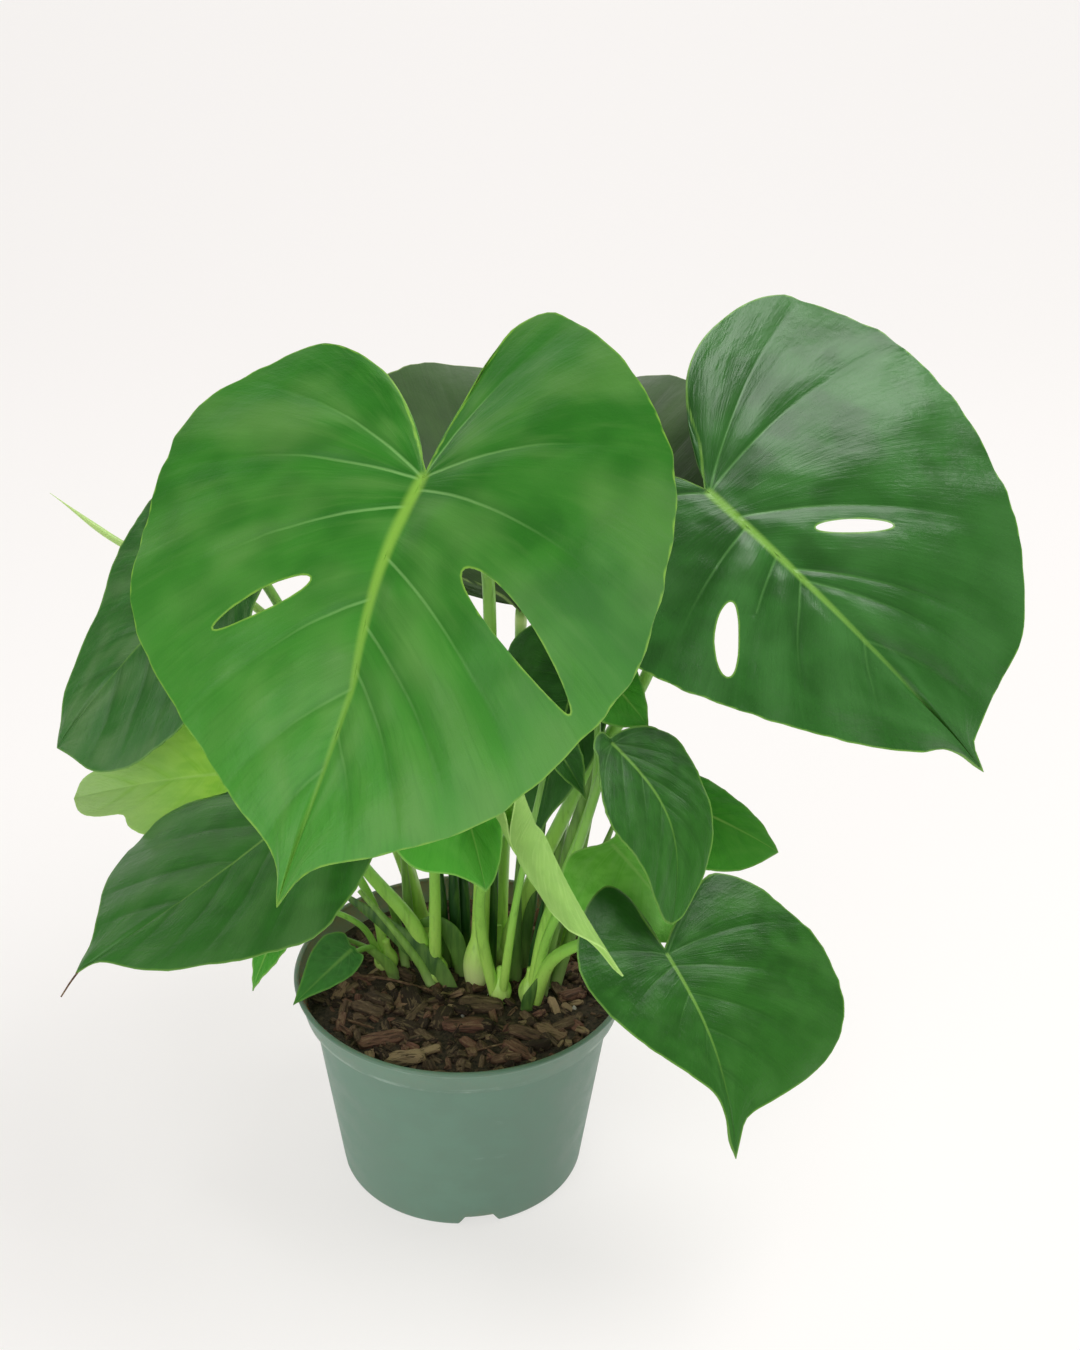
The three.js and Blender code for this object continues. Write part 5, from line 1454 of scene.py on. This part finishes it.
def set_camera():
    """The camera that takes in the plant from the front, a little from above."""
    pitch, roll = math.radians(CAMERA["pitch"]), math.radians(CAMERA["roll"])
    forward = Vector((0, math.cos(pitch), -math.sin(pitch)))
    level, up = Vector((1, 0, 0)), Vector((0, math.sin(pitch), math.cos(pitch)))
    right = math.cos(roll) * level + math.sin(roll) * up
    top = -math.sin(roll) * level + math.cos(roll) * up
    data = bpy.data.cameras.new("front_camera")
    data.sensor_width = CAMERA["sensor"]
    data.lens = CAMERA["sensor"] * CAMERA["lens"] / CAMERA["long_side"]
    camera = linked("front_camera", data)
    turn = Matrix((right, top, -forward)).transposed().to_4x4()
    camera.matrix_world = Matrix.Translation(CAMERA["at"]) @ turn
    bpy.context.scene.camera = camera


def set_backdrop():
    """A pale floor that sweeps up behind the plant."""
    front, bend, radius, top, side = (BACKDROP[key] for key in ("front", "bend", "radius", "top", "side"))
    profile = [(front, 0.0), (bend, 0.0)]
    for angle in np.radians(np.linspace(6, 90, 15)):
        profile.append((bend + radius * math.sin(angle), radius - radius * math.cos(angle)))
    profile.append((bend + radius, top))
    points = [(x, y, z) for y, z in profile for x in (-side, side)]
    faces = [(2 * i, 2 * i + 1, 2 * i + 3, 2 * i + 2) for i in range(len(profile) - 1)]
    mesh = make_mesh("backdrop", np.array(points) / MM, faces, 90)
    card = Shader("studio_card")
    mesh.materials.append(card.finish(Base_Color=linear(CARD), Roughness=0.9, Specular_IOR_Level=0.0,
                                      Emission_Color=linear(STUDIO), Emission_Strength=CARD_GLOW))
    linked("backdrop", mesh)


class PlantSettings(bpy.types.PropertyGroup):
    """Sizes and amounts of the dressing."""

    thickness: bpy.props.FloatProperty(
        name="Blade Thickness", description="Thickness of a blade away from its ribs", default=0.00065,
        unit="LENGTH")
    pillow: bpy.props.FloatProperty(
        name="Pillow Height", description="How far a blade swells between its side veins", default=0.003,
        unit="LENGTH")
    swell: bpy.props.FloatProperty(
        name="Swell", description="Height of the slow uneven swelling of a blade", default=0.0011,
        unit="LENGTH")
    pillow_width: bpy.props.FloatProperty(
        name="Pillow Width", description="Vein spacing in millimetres at which pillows are fully high",
        default=24.0)
    groove: bpy.props.FloatProperty(
        name="Vein Groove", description="Depth of the side veins in the upper surface", default=0.00035,
        unit="LENGTH")
    ridge: bpy.props.FloatProperty(
        name="Vein Ridge", description="Height of the side veins on the underside", default=0.0005,
        unit="LENGTH")
    flutter: bpy.props.FloatProperty(
        name="Margin Flutter", description="Height of the small waves along the margin", default=0.0007,
        unit="LENGTH")
    knee: bpy.props.FloatProperty(
        name="Stalk Knee", description="How strongly a stalk swells below its blade", default=1.0)
    groove_share: bpy.props.FloatProperty(
        name="Stalk Groove", description="Depth of the groove along a stalk, as a share of its radius",
        default=0.22, subtype="FACTOR")
    chip_density: bpy.props.FloatProperty(
        name="Chips per Area", description="Small bark chips per square metre of mix", default=42000.0)
    chip_seed: bpy.props.IntProperty(
        name="Chip Seed", description="Arrangement of the small chips", default=4)


class PLANT_OT_pot(bpy.types.Operator):
    """Build the nursery pot."""

    bl_idname = "plant.pot"
    bl_label = "Pot"

    def execute(self, context):
        points, faces = turned(pot_profile(), POT["sides"])
        mesh = cut(make_mesh("pot_body", points, faces), pot_cutters())
        mesh.name = "pot_shell"
        mesh.set_sharp_from_angle(angle=math.radians(50))
        add_piece("pot_shell", mesh, "pot", "pot_plastic", plastic_material())
        return {"FINISHED"}


class PLANT_OT_mix(bpy.types.Operator):
    """Build the potting mix with its bark slabs and small chips."""

    bl_idname = "plant.mix"
    bl_label = "Potting Mix"

    def execute(self, context):
        settings = context.scene.plant_settings
        soil = rough_material("peat", SOIL, 90.0, 0.002)
        bark = bark_material()
        add_piece("mix_body", mix_mesh(), "potting_mix", "potting_mix", soil)
        add_piece("bark_slabs", bark_mesh("bark_slabs", bark_slabs()), None, "potting_mix", bark)
        for name, share in CHIP_SHARES.items():
            add_litter(name, bark, share * settings.chip_density, settings.chip_seed)
        stick = rough_material("dry_stick", DRY_STICK, 120.0, 0.0006)
        add_piece("dry_sticks", sticks_mesh(), None, "potting_mix", stick)
        white = rough_material("perlite", PERLITE, 300.0, 0.0004)
        add_litter("perlite", white, PERLITE_PER_AREA, settings.chip_seed)
        return {"FINISHED"}


class PLANT_OT_stalks(bpy.types.Operator):
    """Build each plantlet's stem and stalks."""

    bl_idname = "plant.stalks"
    bl_label = "Stalks"

    def execute(self, context):
        material = stalk_material()
        for name in PLANTLETS:
            mesh = plantlet_mesh(name, context.scene.plant_settings)
            add_piece(f"{name}_stalks", mesh, name, "stalk", material)
        add_piece("young_shoots", shoots_mesh(), None, "stalk", shoot_material())
        return {"FINISHED"}


class PLANT_OT_leaves(bpy.types.Operator):
    """Build every blade with its veins, slots and underside."""

    bl_idname = "plant.leaves"
    bl_label = "Leaves"

    def execute(self, context):
        materials = {key: leaf_material(f"blade_{key}", full_look(look)) for key, look in LEAF_LOOKS.items()}
        for name, leaf in LEAVES.items():
            finish = leaf.get("finish", PLAIN_LEAF["finish"])
            material = materials.get(name, materials[LOOK_OF.get(name, finish)])
            mesh = blade_mesh(name, context.scene.plant_settings)
            add_piece(f"{name}_blade", mesh, name, LEAF_SLOTS[finish], material)
        return {"FINISHED"}


class PLANT_OT_stage(bpy.types.Operator):
    """Set up the camera, the pale backdrop and the soft lights."""

    bl_idname = "plant.stage"
    bl_label = "Stage"

    def execute(self, context):
        set_camera()
        set_backdrop()
        for name, (place, target, size, power) in LIGHTS.items():
            area_light(name, place, target, size, power)
        world = bpy.data.worlds.new("studio")
        world.use_nodes = True
        background = world.node_tree.nodes["Background"]
        background.inputs["Color"].default_value = (1, 1, 1, 1)
        background.inputs["Strength"].default_value = WORLD_STRENGTH
        context.scene.world = world
        context.scene.view_settings.view_transform = "Standard"
        return {"FINISHED"}


class PLANT_PT_panel(bpy.types.Panel):
    """Buttons and settings of the plant."""

    bl_idname = "PLANT_PT_panel"
    bl_label = "House Plant"
    bl_space_type = "VIEW_3D"
    bl_region_type = "UI"
    bl_category = "House Plant"

    def draw(self, context):
        for name in PlantSettings.__annotations__:
            self.layout.prop(context.scene.plant_settings, name)
        for operator in STEPS:
            self.layout.operator(operator.bl_idname)


STEPS = (PLANT_OT_pot, PLANT_OT_mix, PLANT_OT_stalks, PLANT_OT_leaves, PLANT_OT_stage)
CLASSES = (PlantSettings, *STEPS, PLANT_PT_panel)


def register():
    """Adds the classes and their settings."""
    for item in CLASSES:
        bpy.utils.register_class(item)
    bpy.types.Scene.plant_settings = bpy.props.PointerProperty(type=PlantSettings)


def unregister():
    """Takes the classes and their settings out."""
    del bpy.types.Scene.plant_settings
    for item in reversed(CLASSES):
        bpy.utils.unregister_class(item)


def main():
    """Builds the whole plant."""
    register()
    bpy.ops.plant.pot()
    bpy.ops.plant.mix()
    bpy.ops.plant.stalks()
    bpy.ops.plant.leaves()
    bpy.ops.plant.stage()


if __name__ == "__main__":
    main()
